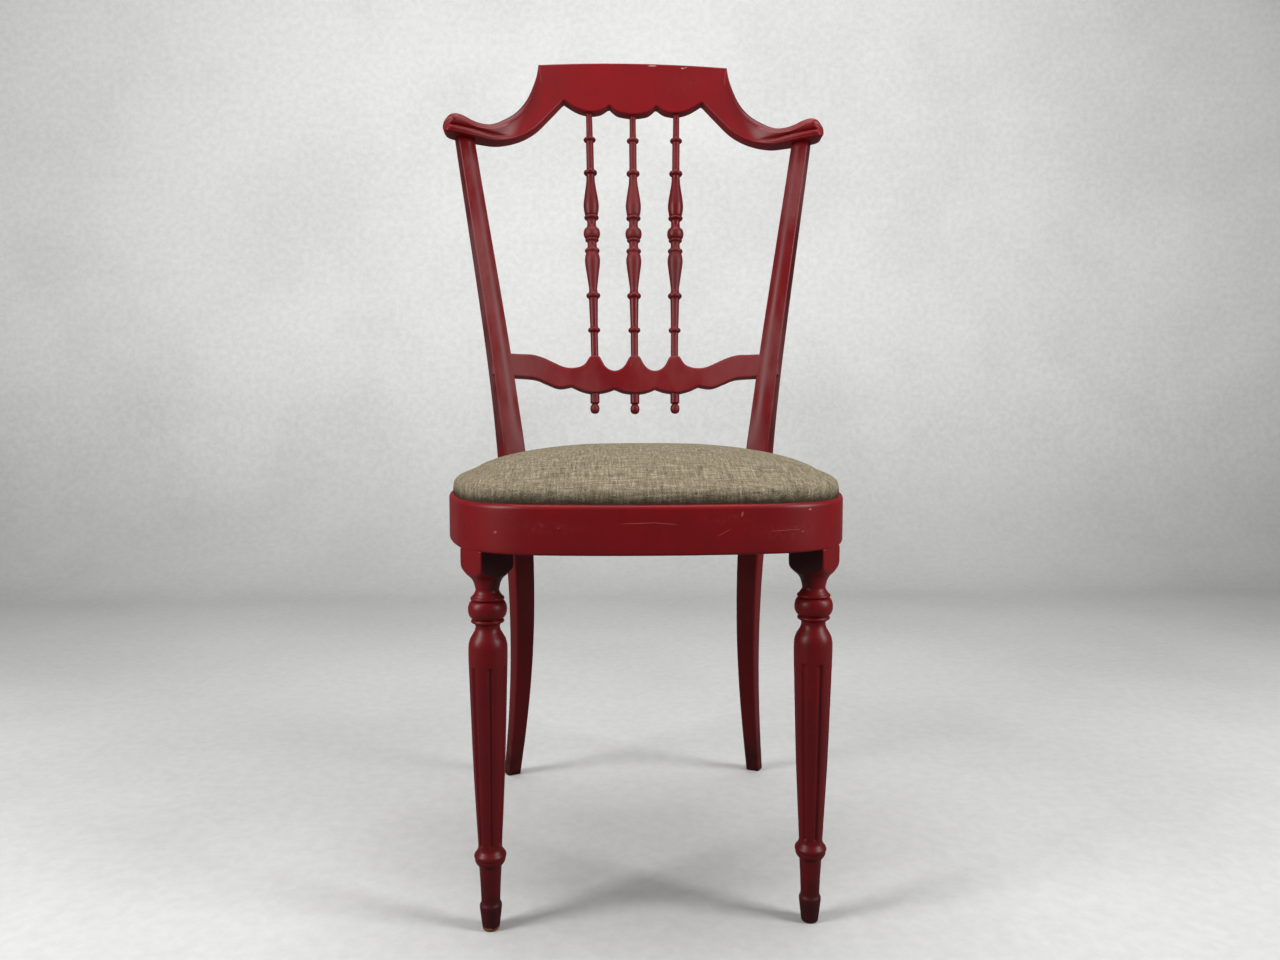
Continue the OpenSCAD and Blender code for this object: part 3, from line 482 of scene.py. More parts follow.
bowl = smooth_tuples([(13.6, shoulder + 56.6), (11.4, shoulder + 59.8), (10.8, shoulder + 62.2),
                      (11.3, shoulder + 65), (12.6, shoulder + 69.5), (15.2, shoulder + 73.6),
                      (19.1, shoulder + 76.8), (23.2, shoulder + 80.6), (26.2, shoulder + 84),
                      (29, shoulder + 88)])
under_block = [(36, ring_low - 5), (36, ring_low + 0.6)]
leg_curve = np.array(foot_part + double_ring + shaft + ball_part + bowl + under_block)
leg_rows = even_steps(leg_curve, 0.9)
print("leg profile rows", len(leg_rows))

# %% Flutes and block written into the radius
flutes, flute_phase, flute_depth = 7, 11, 1.75
block_turn, block_half, block_corner = 38, 18.0, 24.6


def front_leg_rows(side, around=126):
    turns = np.arange(around) * 2 * math.pi / around
    r, z = leg_rows[:, 0][:, None], leg_rows[:, 1][:, None]
    radius = np.broadcast_to(r, (len(leg_rows), around)).copy()
    low, high = 84.0, shoulder - 10.0
    for k in range(flutes):
        centre = math.radians(flute_phase - 90) + k * 2 * math.pi / flutes
        off = (turns[None, :] - centre + math.pi) % (2 * math.pi) - math.pi
        half = 1.75 + 0.65 * np.clip((z - low) / (high - low), 0, 1)
        past = np.where(z < low, low - z, np.where(z > high, z - high, 0))
        away = np.sqrt((r * off) ** 2 + past ** 2) / half
        radius -= flute_depth * (half / 2.4) * np.sqrt(np.clip(1 - away ** 2, 0, 1)) * (np.abs(off) < 0.6)
    face = turns + side * math.radians(block_turn)
    square = block_half / np.maximum(np.abs(np.cos(face)), np.abs(np.sin(face)))
    square = np.minimum(square, block_corner)
    # The smaller of the two radii, with the corner between them eased over about a millimetre.
    eased = -1.2 * np.logaddexp(-radius / 1.2, -square[None, :] / 1.2)
    radius = np.where(z > shoulder + 60, eased, radius)
    x = side * leg_x + radius * np.cos(turns)
    y = leg_line_y + radius * np.sin(turns)
    return np.stack([x, y, np.broadcast_to(z, radius.shape)], axis=2)


for side, word in ((-1, "left"), (1, "right")):
    verts, faces = skin_rows(front_leg_rows(side))
    edge = side * leg_x * MM
    # Painted shade on the inner faces of each leg's block.
    finish = lacquer(f"lacquer_front_leg_{word}", foot_dirt=True, painted_shade_block=side,
                     worn_foot=(edge - 0.013, edge - 0.009) if side < 0 else None)
    new_piece(f"turned_leg_{word}", verts, faces, finish, [f"front_leg_{word}"])

# %% [markdown]
# ## The rear posts
# Each post is one piece of wood from the floor to the crest rail: a leg that sweeps back
# and out, a straight stretch where the seat frame is housed, and a stile that leans back
# and flares out. Two Bezier curves with a straight land between them are its centre line.
# The section is a soft-cornered rectangle whose front face is slightly crowned above the
# seat, and it is turned so that this face looks towards the middle of the chair.

# %% The posts' centre line
post_turn = math.radians(29.5)
foot_w, land_lean = 17.5, 0.084
post_w, post_d, post_top_w, post_top_d = 29.5, 25.5, 22.0, 18.5
post_side = np.array([math.cos(post_turn), -math.sin(post_turn)])
post_out = np.array([math.sin(post_turn), math.cos(post_turn)])
land_low, land_high = ring_low - 8, seat_h + 8
land_mid = ring_low + ring_h / 2
post_seat = plan_point(math.pi - post_turn, 0) + (post_d / 2 - 5) * post_out


def land_at(z):
    """The centre line's place in its straight stretch."""
    p = post_seat + (z - land_mid) * land_lean * post_side
    return np.array([p[0], p[1], z])


def bezier(a, b, c, d, t):
    return a * (1 - t) ** 3 + 3 * b * t * (1 - t) ** 2 + 3 * c * t * t * (1 - t) + d * t ** 3


post_top_h, post_top_x = seat_h + 421, post_seat[0] + 61.9
post_foot_at = np.array([post_seat[0] + 12.5, post_seat[1] + 67, 0])
post_top_at = np.array([post_top_x, post_seat[1] + 46, post_top_h])
land_dir = np.array([*(post_side * land_lean), 1])
top_dir = np.array([0.158, 0.15, 1])


def leg_line(t):
    return bezier(post_foot_at, post_foot_at + np.array([-14, -40, 100]),
                  land_at(land_low) - land_low * 0.42 * land_dir, land_at(land_low), t)


def stile_line(t):
    run = post_top_h - land_high
    return bezier(land_at(land_high), land_at(land_high) + run * 0.3 * land_dir,
                  post_top_at - run * 0.37 * top_dir, post_top_at, t)


print("post seat", post_seat.round(1), "foot", post_foot_at.round(1), "top", post_top_at.round(1))

# %% The posts' section
def post_section(w, d, crown, corner=2.6, arc=5):
    """A soft-cornered rectangle whose front face is crowned."""
    a, b = w / 2, d / 2
    points = []
    for cx, cy, start in ((a - corner, b - corner, 90), (a - corner, -b + corner + crown, 0),
                          (-a + corner, -b + corner + crown, 270), (-a + corner, b - corner, 180)):
        points += [(cx + corner * math.cos(t), cy + corner * math.sin(t))
                   for t in np.radians(np.linspace(start, start - 90, arc + 1))]
        if start == 0:
            u = np.linspace(0.85, -0.85, 12)
            points += [((a - corner) * k, -b + crown * k * k) for k in u]
    return np.array(points)


def post_rows(side):
    """The post's sections from the floor to the crest rail."""
    rows = []
    for t in np.linspace(0, 1, 76):
        s = t ** 1.2
        rows.append((leg_line(t), foot_w + (post_w - foot_w) * s, foot_w + (post_d - foot_w) * s, 0.0))
    for t in np.linspace(0, 1, 90)[1:]:
        s = t ** 0.85
        rows.append((stile_line(t), post_w + (post_top_w - post_w) * s, post_d + (post_top_d - post_d) * s,
                     3.0 * float(ease(t, 0.02, 0.25))))
    out = []
    for centre, w, d, crown in rows:
        p = post_section(w, d, crown)
        xy = centre[:2] + p[:, :1] * post_side + p[:, 1:] * post_out
        out.append(np.column_stack([side * xy[:, 0], xy[:, 1], np.full(len(xy), centre[2])]))
    return out


# %% [markdown]
# ## The crest rail's frame
# The crest rail and the lower rail are planks bent in plan and tilted back. Each is drawn
# flat, as a width and a height, and then laid on its own tilted curve. Drawing it flat
# keeps the outline true, and the bend is one formula.

# %% Laying a flat drawing on a tilted curve
crest_tilt, crest_r, crest_t = math.radians(8.5), 486.0, 18.0
crest_drop, crest_h = 55.0, 70.0
crest_sag = crest_r - math.sqrt(crest_r ** 2 - post_top_x ** 2)
crest_o = np.array([post_top_at[1] + crest_sag * math.cos(crest_tilt) + crest_drop * math.sin(crest_tilt),
                    post_top_h - crest_sag * math.sin(crest_tilt) + crest_drop * math.cos(crest_tilt)])


def lay(x, depth, h, origin, tilt, radius):
    """From the flat drawing to the chair: depth is in front of the middle of the plank when negative."""
    y = np.sqrt(np.maximum((radius + depth) ** 2 - x ** 2, 0)) - radius
    return np.stack([x, origin[0] + y * math.cos(tilt) + h * math.sin(tilt),
                     origin[1] - y * math.sin(tilt) + h * math.cos(tilt)], axis=-1)


def under_crest(y):
    return (crest_o[1] - crest_drop * math.cos(crest_tilt)
            - math.tan(crest_tilt) * (y - crest_o[0] + crest_drop * math.sin(crest_tilt)))


stile_marks = {
    -1: dict(chips=[patch((-206, post_top_at[1] - 9, 762), (1.5, 9, 4.5), 0.8, -8),
                    patch((-203, post_top_at[1] - 24, 655), (1.3, 9, 3.4), 0.8, -8),
                    patch((-201, post_top_at[1] - 25, 641), (1.1, 9, 6.0), 0.8, -9),
                    patch((-200, post_top_at[1] - 27, 622), (1.0, 9, 2.4), 0.8, -9)],
             scuffs=[patch((-190, post_top_at[1] - 25, 640), (14, 20, 70), 0.8, -9)]),
    1: dict(chips=[patch((203, post_top_at[1] - 9, 738), (1.1, 9, 2.2), 0.9, 8)],
            scuffs=[patch((187, post_top_at[1] - 24, 625), (9, 20, 34), 0.8, 9),
                    patch((196, post_top_at[1] - 12, 735), (9, 20, 24), 0.8, 9),
                    patch((172, post_top_at[1] - 30, 560), (9, 20, 26), 0.8, 9)]),
}
for side, word in ((-1, "left"), (1, "right")):
    rows = post_rows(side)
    # The top is cut to the crest rail's underside and stands a millimetre into it.
    rows[-1][:, 2] = under_crest(rows[-1][:, 1]) + 1.0
    verts, faces = skin_rows(rows)
    # Painted shade on the post's outer face and over the whole post, and a painted sheen above the seat.
    finish = lacquer(f"lacquer_rear_post_{word}", foot_dirt=True, painted_shade_side=side, depth=0.7, painted_sheen=0.24,
                     **stile_marks[side])
    outward_faces = faces if side < 0 else [f[::-1] for f in faces]
    new_piece(f"rear_post_{word}_shaped", verts, outward_faces, finish, [f"rear_post_{word}"])

# %% [markdown]
# ## The crest rail
# Its top is a shallow arch between two crisp corners; concave shoulders run down to arms
# that end in scroll ears over the posts, and scallops are cut along the middle of its
# lower edge. A flat face cut out with a knife tool would need its edges bevelled across
# those cusps. A row of points round the plank at every station along it gives rounded
# edges everywhere and lets the ears swell and carry their groove and bead.

# %% The outline's two lines
px = post_top_x
ear = 26.0
arch_half, arch_fall = 123, 12.3
top_arch = [(x, crest_h - arch_fall * (x / arch_half) ** 2) for x in np.linspace(0, arch_half, 50)]
top_shoulder = smooth_through(
    [(arch_half, crest_h - arch_fall), (126.7, crest_h - 31.6), (137, crest_h - 57), (px - 61, crest_h - 77),
     (px - 46, crest_h - 90.6), (px - 32, crest_h - 100.5), (px - 21, crest_h - 103.4),
     (px - 10, crest_h - 102.6), (px - 1, crest_h - 99.8), (px + 7, crest_h - 98.6),
     (px + 15, crest_h - 100.4), (px + 21, crest_h - 105), (px + 24.8, crest_h - 111.5),
     (px + ear - 0.4, crest_h - 117)], 10)
under_arm = smooth_through(
    [(px + ear - 0.4, crest_h - 117), (px + 25.0, -crest_drop + 5), (px + 22, -crest_drop + 1.4),
     (px + 16, -crest_drop), (px, -crest_drop), (px - 14, -crest_drop), (px - 37, -crest_drop + 1.5),
     (px - 63, -crest_drop + 11), (px - 84.5, -crest_drop + 25.8), (px - 102.5, -crest_drop + 46),
     (91, 14.4)], 10)
scallops = np.vstack([smooth_through([(91, 14.4), (74, 5.2), (57, 1.8), (42, 4.6), (31, 12.5)], 8)[:-1],
                      smooth_through([(31, 12.5), (20, 3.6), (0, 0.3)], 8)])
top_line = np.vstack([np.array(top_arch)[:-1], even_steps(top_shoulder, 1.6)])
low_line = np.vstack([under_arm[:-1], scallops])[::-1]
print("crest stations", len(top_line))


# %% Normals along a line, kept steady at a corner
def outward(line, upward):
    """Unit normals of a line, pointing up or down."""
    step = np.gradient(line, axis=0)
    step[0], step[-1] = line[1] - line[0], line[-1] - line[-2]
    normal = np.column_stack([-step[:, 1], step[:, 0]]) / np.maximum(np.hypot(*step.T), 1e-9)[:, None]
    return normal if upward else -normal


# The corner gets a fan of stations, so that it stays crisp but rounded.
corner = len(top_arch) - 1
normals = outward(top_line, True)
fan = np.radians(np.linspace(84, 12, 9))
top_line = np.vstack([top_line[:corner], np.repeat(top_line[corner:corner + 1], 9, axis=0),
                      top_line[corner + 1:]])
normals = np.vstack([normals[:corner], np.column_stack([np.cos(fan), np.sin(fan)]), normals[corner + 1:]])
low_normals_line = outward(low_line, False)
low_x = top_line[:, 0].copy()
low_x[corner - 6:corner + 15] = np.linspace(low_x[corner - 6], low_x[corner + 14], 21)
low_at = np.column_stack([low_x, np.interp(low_x, low_line[:, 0], low_line[:, 1])])
low_normal = np.column_stack([np.interp(low_x, low_line[:, 0], low_normals_line[:, k]) for k in (0, 1)])
low_normal /= np.hypot(*low_normal.T)[:, None]
print("stations with the corner's fan", len(top_line))


# %% The section round the plank at each station
def plank_rows(top, top_n, low, low_n, thickness, front_swell, top_round, low_round, across, groove=None):
    """Rows round a plank; front_swell stands the front out, and the rounds are edge radii, by station."""
    rows = []
    arc = np.radians(np.linspace(0, 90, 7))
    for k in range(len(top)):
        rt, rl = top_round[k], low_round[k]
        gap = np.hypot(*(top[k] - low[k]))
        rt, rl = min(rt, gap * 0.45), min(rl, gap * 0.45)
        t_in, l_in = top[k] - rt * top_n[k], low[k] - rl * low_n[k]
        half_f, half_b = thickness / 2 + front_swell[k], thickness / 2
        front = [(l_in + rl * math.cos(a) * low_n[k], -(half_f - rl + rl * math.sin(a))) for a in arc]
        for s in np.linspace(0, 1, across + 2)[1:-1]:
            p = l_in + (t_in - l_in) * s
            above = np.dot(p - low[k], -low_n[k]) if gap > 1 else 0
            front.append((p, -half_f + (groove(k, above, p[1]) if groove else 0)))
        front += [(t_in + rt * math.sin(a) * top_n[k], -(half_f - rt + rt * math.cos(a))) for a in arc]
        rb = min(2.2, gap * 0.45)
        tb, lb = top[k] - rb * top_n[k], low[k] - rb * low_n[k]
        back = [(tb + rb * math.cos(a) * top_n[k], half_b - rb + rb * math.sin(a)) for a in arc]
        for s in np.linspace(1, 0, 8)[1:-1]:
            back.append((lb + (tb - lb) * s, half_b))
        back += [(lb + rb * math.sin(a) * low_n[k], half_b - rb + rb * math.cos(a)) for a in arc]
        rows.append([(p[0], d, p[1]) for p, d in front + back])
    return np.array(rows)


def laid_plank(rows, origin, tilt, radius):
    """Vertices and faces of a plank drawn flat, once it lies on its tilted curve."""
    return skin_rows(lay(rows[:, :, 0], rows[:, :, 1], rows[:, :, 2], origin, tilt, radius))


def both_halves(rows):
    """Mirrors rows drawn from the middle outwards into one plank."""
    mirrored = rows[1:][::-1].copy()
    mirrored[:, :, 0] *= -1
    return np.vstack([mirrored, rows])


# %% The ears' swell, groove and bead
station_x = top_line[:, 0]
knob = np.clip((station_x - px - 8) / (ear - 8.4), 0, 1)
swell = 9.5 * ease(station_x, px - 66, px - 2) - 15 * (1 - np.sqrt(1 - knob ** 2))
top_round = 2.0 + 9 * ease(station_x, 118, 150) - 2.5 * ease(station_x, px - 40, px + 6)
low_round = 1.8 + 0.8 * ease(station_x, px - 30, px)


def ear_groove(k, above, height):
    """How far the front stands back for the crease, its lip and the roll above it."""
    grown = float(ease(station_x[k], px - 62, px - 14))
    level = height + crest_drop if station_x[k] > px - 14 else above
    crease = 3.5 + 5.5 * grown
    cut = 2.6 * math.exp(-((level - crease) / 1.3) ** 2)
    lip = -1.3 * math.exp(-((level - crease * 0.55) / (crease * 0.3)) ** 2)
    roll = -3.2 * math.sin(math.pi * min(max((level - crease) / 15, 0), 1))
    return grown * (cut + lip + roll) * float(1 - 0.85 * ease(station_x[k], px + 14, px + 24))


crest_rows = both_halves(plank_rows(top_line, normals, low_at, low_normal, crest_t, swell,
                                    top_round, low_round, across=34, groove=ear_groove))
verts, faces = laid_plank(crest_rows, crest_o, crest_tilt, crest_r)
crest_mid, crest_edge = crest_o[0], crest_o[1] + crest_h
# Painted shade: soft patches darken the crest rail's two arms, which catch less light.
arm_shade_patches = [soft_patch((side * 165, crest_mid - 30, crest_o[1] + 8), (66, 90, 40), side * -45)
             for side in (-1, 1)]
crest_lacquer = lacquer("lacquer_crest_rail", arrises=False, dark=arm_shade_patches,
                        chips=[patch((26, crest_mid, crest_edge - 3), (5.5, 14, 0.9), 0.9),
                               patch((66, crest_mid, crest_edge - 7), (2.4, 14, 1.0), 0.9),
                               patch((70, crest_mid, crest_edge - 6.2), (1.2, 14, 0.8), 0.9)],
                        scuffs=[soft_patch((70, crest_mid, crest_o[1] + 40), (40, 30, 20))])
new_piece("crest_rail_shaped", verts, faces, crest_lacquer, ["crest_rail"])

# %% [markdown]
# ## The lower back rail
# It is a thinner plank on the same plan, with three lobes that carry the spindles, a
# waist between them, and a scalloped lower edge. The same station-by-station method
# serves, with the edges a little rounder than the crest rail's.

# %% The lower back rail
rail_tilt, rail_r, rail_t = math.radians(9), 379.0, 16.0
joint = stile_line(0.35)
rail_low_h, rail_end = seat_h + 102, joint[0] + 8
rail_sag = rail_r - math.sqrt(rail_r ** 2 - joint[0] ** 2)
rail_back = joint[1] + rail_sag * math.cos(rail_tilt)
rail_rise = joint[2] - rail_low_h - rail_sag * math.sin(rail_tilt)
rail_o = np.array([rail_back - rail_rise * math.tan(rail_tilt), rail_low_h])
pitch_low = 51.2
rail_top = np.vstack([
    [[0, 49], [3, 49]],
    smooth_through([(5.2, 49), (7.5, 46.2), (13, 36.5), (19, 31.4), (pitch_low / 2, 29.6), (32.5, 31.2),
                    (38.4, 36), (43.7, 45.6), (46.0, 48.2)], 6),
    [[49, 48.2], [53, 48.2]],
    smooth_through([(56.4, 48.2), (58.6, 45.4), (64, 37.2), (72, 33), (82, 31.4), (92, 32.8), (104, 37.6),
                    (116, 42.4), (129, 45.2), (145, 44.6), (rail_end, 43.2)], 6)])
rail_low = np.vstack([smooth_through([(0, 0), (14, 1.6), (26, 6.1)], 8)[:-1],
                      smooth_through([(26, 6.1), (38, 2), (53, 0), (67, 2.2), (81, 7.8)], 8)[:-1],
                      smooth_through([(81, 7.8), (93, 5.2), (102, 6), (114, 10.5), (131, 15.2),
                                      (rail_end, 14.2)], 8)])
stations = np.unique(np.concatenate([np.linspace(0, rail_end, 150), rail_top[:, 0], [26, 81]]))
# Stations that nearly coincide would shade as hairlines.
stations = stations[np.append(np.diff(stations) > 0.4, True)]
rail_top_at = np.column_stack([stations, np.interp(stations, rail_top[:, 0], rail_top[:, 1])])
rail_low_at = np.column_stack([stations, np.interp(stations, rail_low[:, 0], rail_low[:, 1])])
even = np.ones(len(stations))
rail_rows = both_halves(plank_rows(rail_top_at, outward(rail_top_at, True),
                                   rail_low_at, outward(rail_low_at, False),
                                   rail_t, 0 * even, 2.6 * even, 2.4 * even, across=14))
verts, faces = laid_plank(rail_rows, rail_o, rail_tilt, rail_r)
# The lower rail has painted shade over the whole rail and a faint painted sheen.
new_piece("lower_rail_shaped", verts, faces,
          lacquer("lacquer_lower_rail", arrises=False, depth=0.5, painted_sheen=0.12), ["lower_back_rail"])

# %% [markdown]
# ## Spindles and pendants
# The three spindles are alike: thin ends with a ring near each, two long bulbs and a ball
# between collars in the middle. Small turned pendants hang below the lower rail as if the
# spindles ran through it. One profile is turned round each spindle's own leaning line.

# %% The spindle's profile along its own line
pitch_high = 57.6


def on_plank(x, h, origin, tilt, radius):
    return lay(np.array(float(x)), np.array(0.0), np.array(float(h)), origin, tilt, radius)


def spindle_ends(s):
    """A spindle's two ends; s is -1, 0 or 1 across the chair."""
    return (on_plank(s * pitch_low, 49 - abs(s) * 0.8, rail_o, rail_tilt, rail_r),
            on_plank(s * pitch_high, 0.3 + abs(s) * 1.5, crest_o, crest_tilt, crest_r))


foot, head = spindle_ends(0)
spindle_l = float(np.linalg.norm(head - foot))
ball = spindle_l * 0.505
low_end = ([(0.4, -3), (4.6, -3), (4.7, 0), (4.75, 3), (4.8, ball - 132.2)]
           + bead(ball - 128.5, 5.6, 5.4, 7.9, 8)
           + [(5.0, ball - 125), (4.95, ball - 122), (5.8, ball - 88.6)]
           + bead(ball - 83, 6.2, 6.4, 9.1, 8))
low_bulb = smooth_tuples([(5.9, ball - 79.2), (5.4, ball - 76), (5.6, ball - 71), (8.0, ball - 53),
                          (9.75, ball - 39), (9.5, ball - 32), (8.2, ball - 26.6)], 6)
middle = (bead(ball - 23.2, 4.6, 8.0, 9.65, 8)
          + [(6.6, ball - 19.8), (5.9, ball - 17), (5.9, ball - 13.6), (6.4, ball - 11.4)]
          + bead(ball - 8.9, 3.8, 7.0, 8.8, 8) + bead(ball, 13.6, 7.6, 10.7, 16)
          + [(6.4, ball + 8.6), (5.8, ball + 11), (5.7, ball + 15.6), (6.3, ball + 17.9)]
          + bead(ball + 21.2, 4.8, 7.0, 9.55, 8))
high_bulb = smooth_tuples([(8.2, ball + 24.4), (9.2, ball + 29), (10, ball + 37), (9.2, ball + 46),
                           (7.4, ball + 58), (5.9, ball + 68), (5.4, ball + 75), (5.6, ball + 78.2)], 6)
high_end = (bead(ball + 82, 5.8, 6.0, 8.8, 8) + [(5.0, ball + 86.4), (4.85, ball + 90), (4.9, ball + 123)]
            + bead(ball + 127, 5.0, 5.3, 8.05, 8)
            + [(4.4, ball + 130.6), (4.2, ball + 134), (4.1, spindle_l), (4.0, spindle_l + 4),
               (0.4, spindle_l + 4)])
spindle_curve = np.array(low_end + low_bulb + middle + high_bulb + high_end)
pendant_curve = np.array([(0.3, -25.5), (2.2, -25.5)] + bead(-19.3, 11.6, 2.8, 5.9, 14)
                         + [(4.3, -13.2), (4.6, -12.6), (5.7, -11.9), (5.8, -10), (5.8, 4), (0.3, 4)])


def turned_rows(curve, base, direction, around, step):
    """A profile turned about a leaning line."""
    direction = direction / np.linalg.norm(direction)
    across = np.cross(direction, [0, 1, 0])
    across /= np.linalg.norm(across)
    other = np.cross(direction, across)
    turns = np.arange(around) * 2 * math.pi / around
    ring = np.cos(turns)[:, None] * across + np.sin(turns)[:, None] * other
    return [base + direction * z + r * ring for r, z in even_steps(curve, step)]


for s, word in ((-1, "left"), (0, "centre"), (1, "right")):
    foot, head = spindle_ends(s)
    verts, faces = skin_rows(turned_rows(spindle_curve, foot, head - foot, 40, 0.8))
    new_piece(f"turned_spindle_{word}", verts, faces, plain_lacquer, [f"spindle_{word}"])
    below = on_plank(s * pitch_low, 0, rail_o, rail_tilt, rail_r)
    down_line = np.array([0, math.sin(rail_tilt), math.cos(rail_tilt)])
    verts, faces = skin_rows(turned_rows(pendant_curve, below, down_line, 36, 0.6))
    new_piece(f"turned_pendant_{word}", verts, faces, plain_lacquer, [f"pendant_{word}"])

# %% [markdown]
# ## The linen
# The cover is a coarse plain weave in olive and oatmeal threads of uneven thickness. Two
# sets of fine waves cross at right angles for the threads, and where they meet decides
# which thread is on top. Long thin noise along each thread gives the pale slubs.

# %% The linen's recipe
def linen(name):
    """The weave: threads, slubs, soiling, and painted shade on the tuck at the pad's lower edge."""
    finish, tree, shader, place = new_finish(name)
    x, y, z = position_parts(place)
    wander = (noise(place, 30, 2) - 0.5) * 0.0016
    # Down the pad's sides the threads that ran across its depth run down instead.
    run = y + z * 0.8
    thread = 2 * math.pi / 0.0019
    warp = make_node(tree, "ShaderNodeMath", {"operation": "SINE"}, 0, i0=(x + wander) * thread)
    weft = make_node(tree, "ShaderNodeMath", {"operation": "SINE"}, 0, i0=(run + wander) * thread)
    over = (warp * weft).between(-0.25, 0.25)
    warp_slub = noise(place, 520, 4, 0.75, (1, 0.10, 0.10))
    weft_slub = noise(place, 520, 4, 0.75, (0.10, 1, 1))
    fleck = noise(place, 700, 2, 0.6)
    shade = warp_slub * over + weft_slub * (1 - over)
    pale = shade.between(0.50, 0.66)
    olive = mix_colours(shade.between(0.32, 0.52), written(72, 64, 48), written(150, 138, 113))
    colour = mix_colours(pale * 0.9, olive, written(204, 194, 168))
    gaps = (warp ** 2 * weft ** 2).between(0.0, 0.35)
    colour = mix_colours((1 - gaps) * 0.45 + fleck.between(0.52, 0.68) * 0.5, colour, written(62, 54, 40))
    soiled = noise(place, 9, 4, 0.6).between(0.42, 0.7)
    colour = mix_colours(soiled * 0.22, colour, written(104, 95, 76))
    # Painted shade: the band where the cover tucks down into the frame is darkened.
    ragged_z = z + (noise(place, 95, 4, 0.7) - 0.5) * 0.010
    tuck_shade = 1 - ragged_z.between(0.4045, 0.4140)
    colour = mix_colours(tuck_shade * 0.86, colour, written(50, 42, 31))
    height = (warp ** 2 + weft ** 2) * 0.35 + shade * 0.9
    bump = make_node(tree, "ShaderNodeBump", Strength=0.55, Distance=0.0006, Height=height)
    feed(tree, shader, Base_Color=colour, Roughness=0.94, Normal=bump, Specular_IOR_Level=0.15)
    return finish


linen_cover = linen("olive_linen_weave")
print("linen nodes", len(linen_cover.node_tree.nodes))

# %% [markdown]
# ## The seat pad
# Foam on a board, with the linen pulled over it and down inside the frame's rim. A
# modelled dome looks inflated and even; real cloth over foam is flat-topped with a tight
# edge and small puckers where it turns the corners. So a slightly smaller pad is
# built, remeshed evenly, and its cover is blown up a little by a cloth simulation whose
# lower edge is held, then frozen.

# %% A pad slightly under size
pad_edge = seat_h + 15.5
crown = 27.0


def pad_row(inset, scale, z):
    return [(*(seat_centre + (plan_point(h, inset) - seat_centre) * scale), z) for h in all_headings]


pad_rows = [pad_row(6.5, 1, 397.5), pad_row(5.4, 1, 399), pad_row(5.3, 1, 404), pad_row(4.4, 1, 407),
            pad_row(4.2, 1, pad_edge - 5), pad_row(5.6, 1, pad_edge - 2.2), pad_row(8.4, 1, pad_edge - 0.3)]
for s in (0.945, 0.9, 0.84, 0.76, 0.66, 0.54, 0.4, 0.24, 0.08):
    pad_rows.append(pad_row(8.0, s, pad_edge + crown * (1 - s ** 2.9)))
verts, faces = skin_rows(pad_rows)
pad = new_piece("linen_pad", verts, faces, linen_cover, ["seat_cover", "seat_foam"])


# %% Blow the cover up a little and freeze it
def freeze(piece):
    """Applies the modifiers on a piece."""
    evaluated = piece.evaluated_get(bpy.context.evaluated_depsgraph_get())
    mesh = bpy.data.meshes.new_from_object(evaluated)
    piece.modifiers.clear()
    old = piece.data
    piece.data = mesh
    bpy.data.meshes.remove(old)


def even_faces(piece, voxel):
    """Rebuilds the piece with faces of one size, in metres."""
    remesh = piece.modifiers.new("even faces", "REMESH")
    remesh.mode, remesh.voxel_size, remesh.use_smooth_shade = "VOXEL", voxel, True
    freeze(piece)


def swell_cloth(piece, pressure, frames, cap, held_below):
    """Blows the cover up, held below a height; no point moves further than the cap. Sizes in metres."""
    mesh = piece.data
    before = np.array([v.co[:] for v in mesh.vertices])
    held = piece.vertex_groups.new(name="held")
    held.add([i for i, p in enumerate(before) if p[2] < held_below], 1.0, "REPLACE")
    cloth = piece.modifiers.new("cover", "CLOTH")
    cloth.settings.vertex_group_mass = "held"
    cloth.settings.use_pressure = True
    cloth.settings.uniform_pressure_force = pressure
    cloth.settings.tension_stiffness = cloth.settings.compression_stiffness = 30
    cloth.settings.bending_stiffness = 1.2
    cloth.settings.effector_weights.gravity = 0
    cloth.settings.quality = 5
    cloth.point_cache.frame_end = frames
    for f in range(1, frames + 1):
        bpy.context.scene.frame_set(f)
    bpy.context.view_layer.update()
    evaluated = piece.evaluated_get(bpy.context.evaluated_depsgraph_get())
    after = np.array([v.co[:] for v in evaluated.data.vertices])
    piece.modifiers.remove(cloth)
    move = after - before
    # Only the swelling is kept: where the cloth would draw in, the board's edge would show.
    normals = np.array([v.normal[:] for v in mesh.vertices])
    outward_move = (move * normals).sum(axis=1)
    move *= np.clip(0.5 + outward_move / 0.0012, 0.0, 1.0)[:, None]
    far = np.linalg.norm(move, axis=1)
    move *= np.minimum(1, cap / np.maximum(far, 1e-9))[:, None]
    mesh.vertices.foreach_set("co", (before + move).ravel())
    mesh.update()
    bpy.context.scene.frame_set(1)
    print(piece.name, "cloth moved up to", round(1000 * float(far.max()), 1), "mm")


even_faces(pad, voxel=0.004)
swell_cloth(pad, pressure=4.0, frames=20, cap=0.0035, held_below=0.4065)

# %% Finer faces, then puckers and a fold
finer = pad.modifiers.new("finer", "SUBSURF")
finer.levels = finer.render_levels = 1
freeze(pad)
points = np.array([v.co[:] for v in pad.data.vertices])
flat = points[:, :2] / MM - seat_centre
turn = np.degrees(np.arctan2(flat[:, 0], -flat[:, 1]))
out_dir = flat / np.maximum(np.hypot(*flat.T), 1e-6)[:, None]
z_mm = points[:, 2] / MM
band = np.exp(-((z_mm - 408) / 5.0) ** 2)
for i in np.flatnonzero(band > 0.02):
    wave = field.noise(Vector((turn[i] * 0.11, 0.3, z_mm[i] * 0.05))) * 1.3
    wave += field.noise(Vector((turn[i] * 0.45, 5.1, z_mm[i] * 0.16))) * 0.5
    points[i, :2] += out_dir[i] * wave * band[i] * MM
    points[i, 2] += field.noise(Vector((turn[i] * 0.16, 9.7, 0))) * 0.9 * band[i] * MM
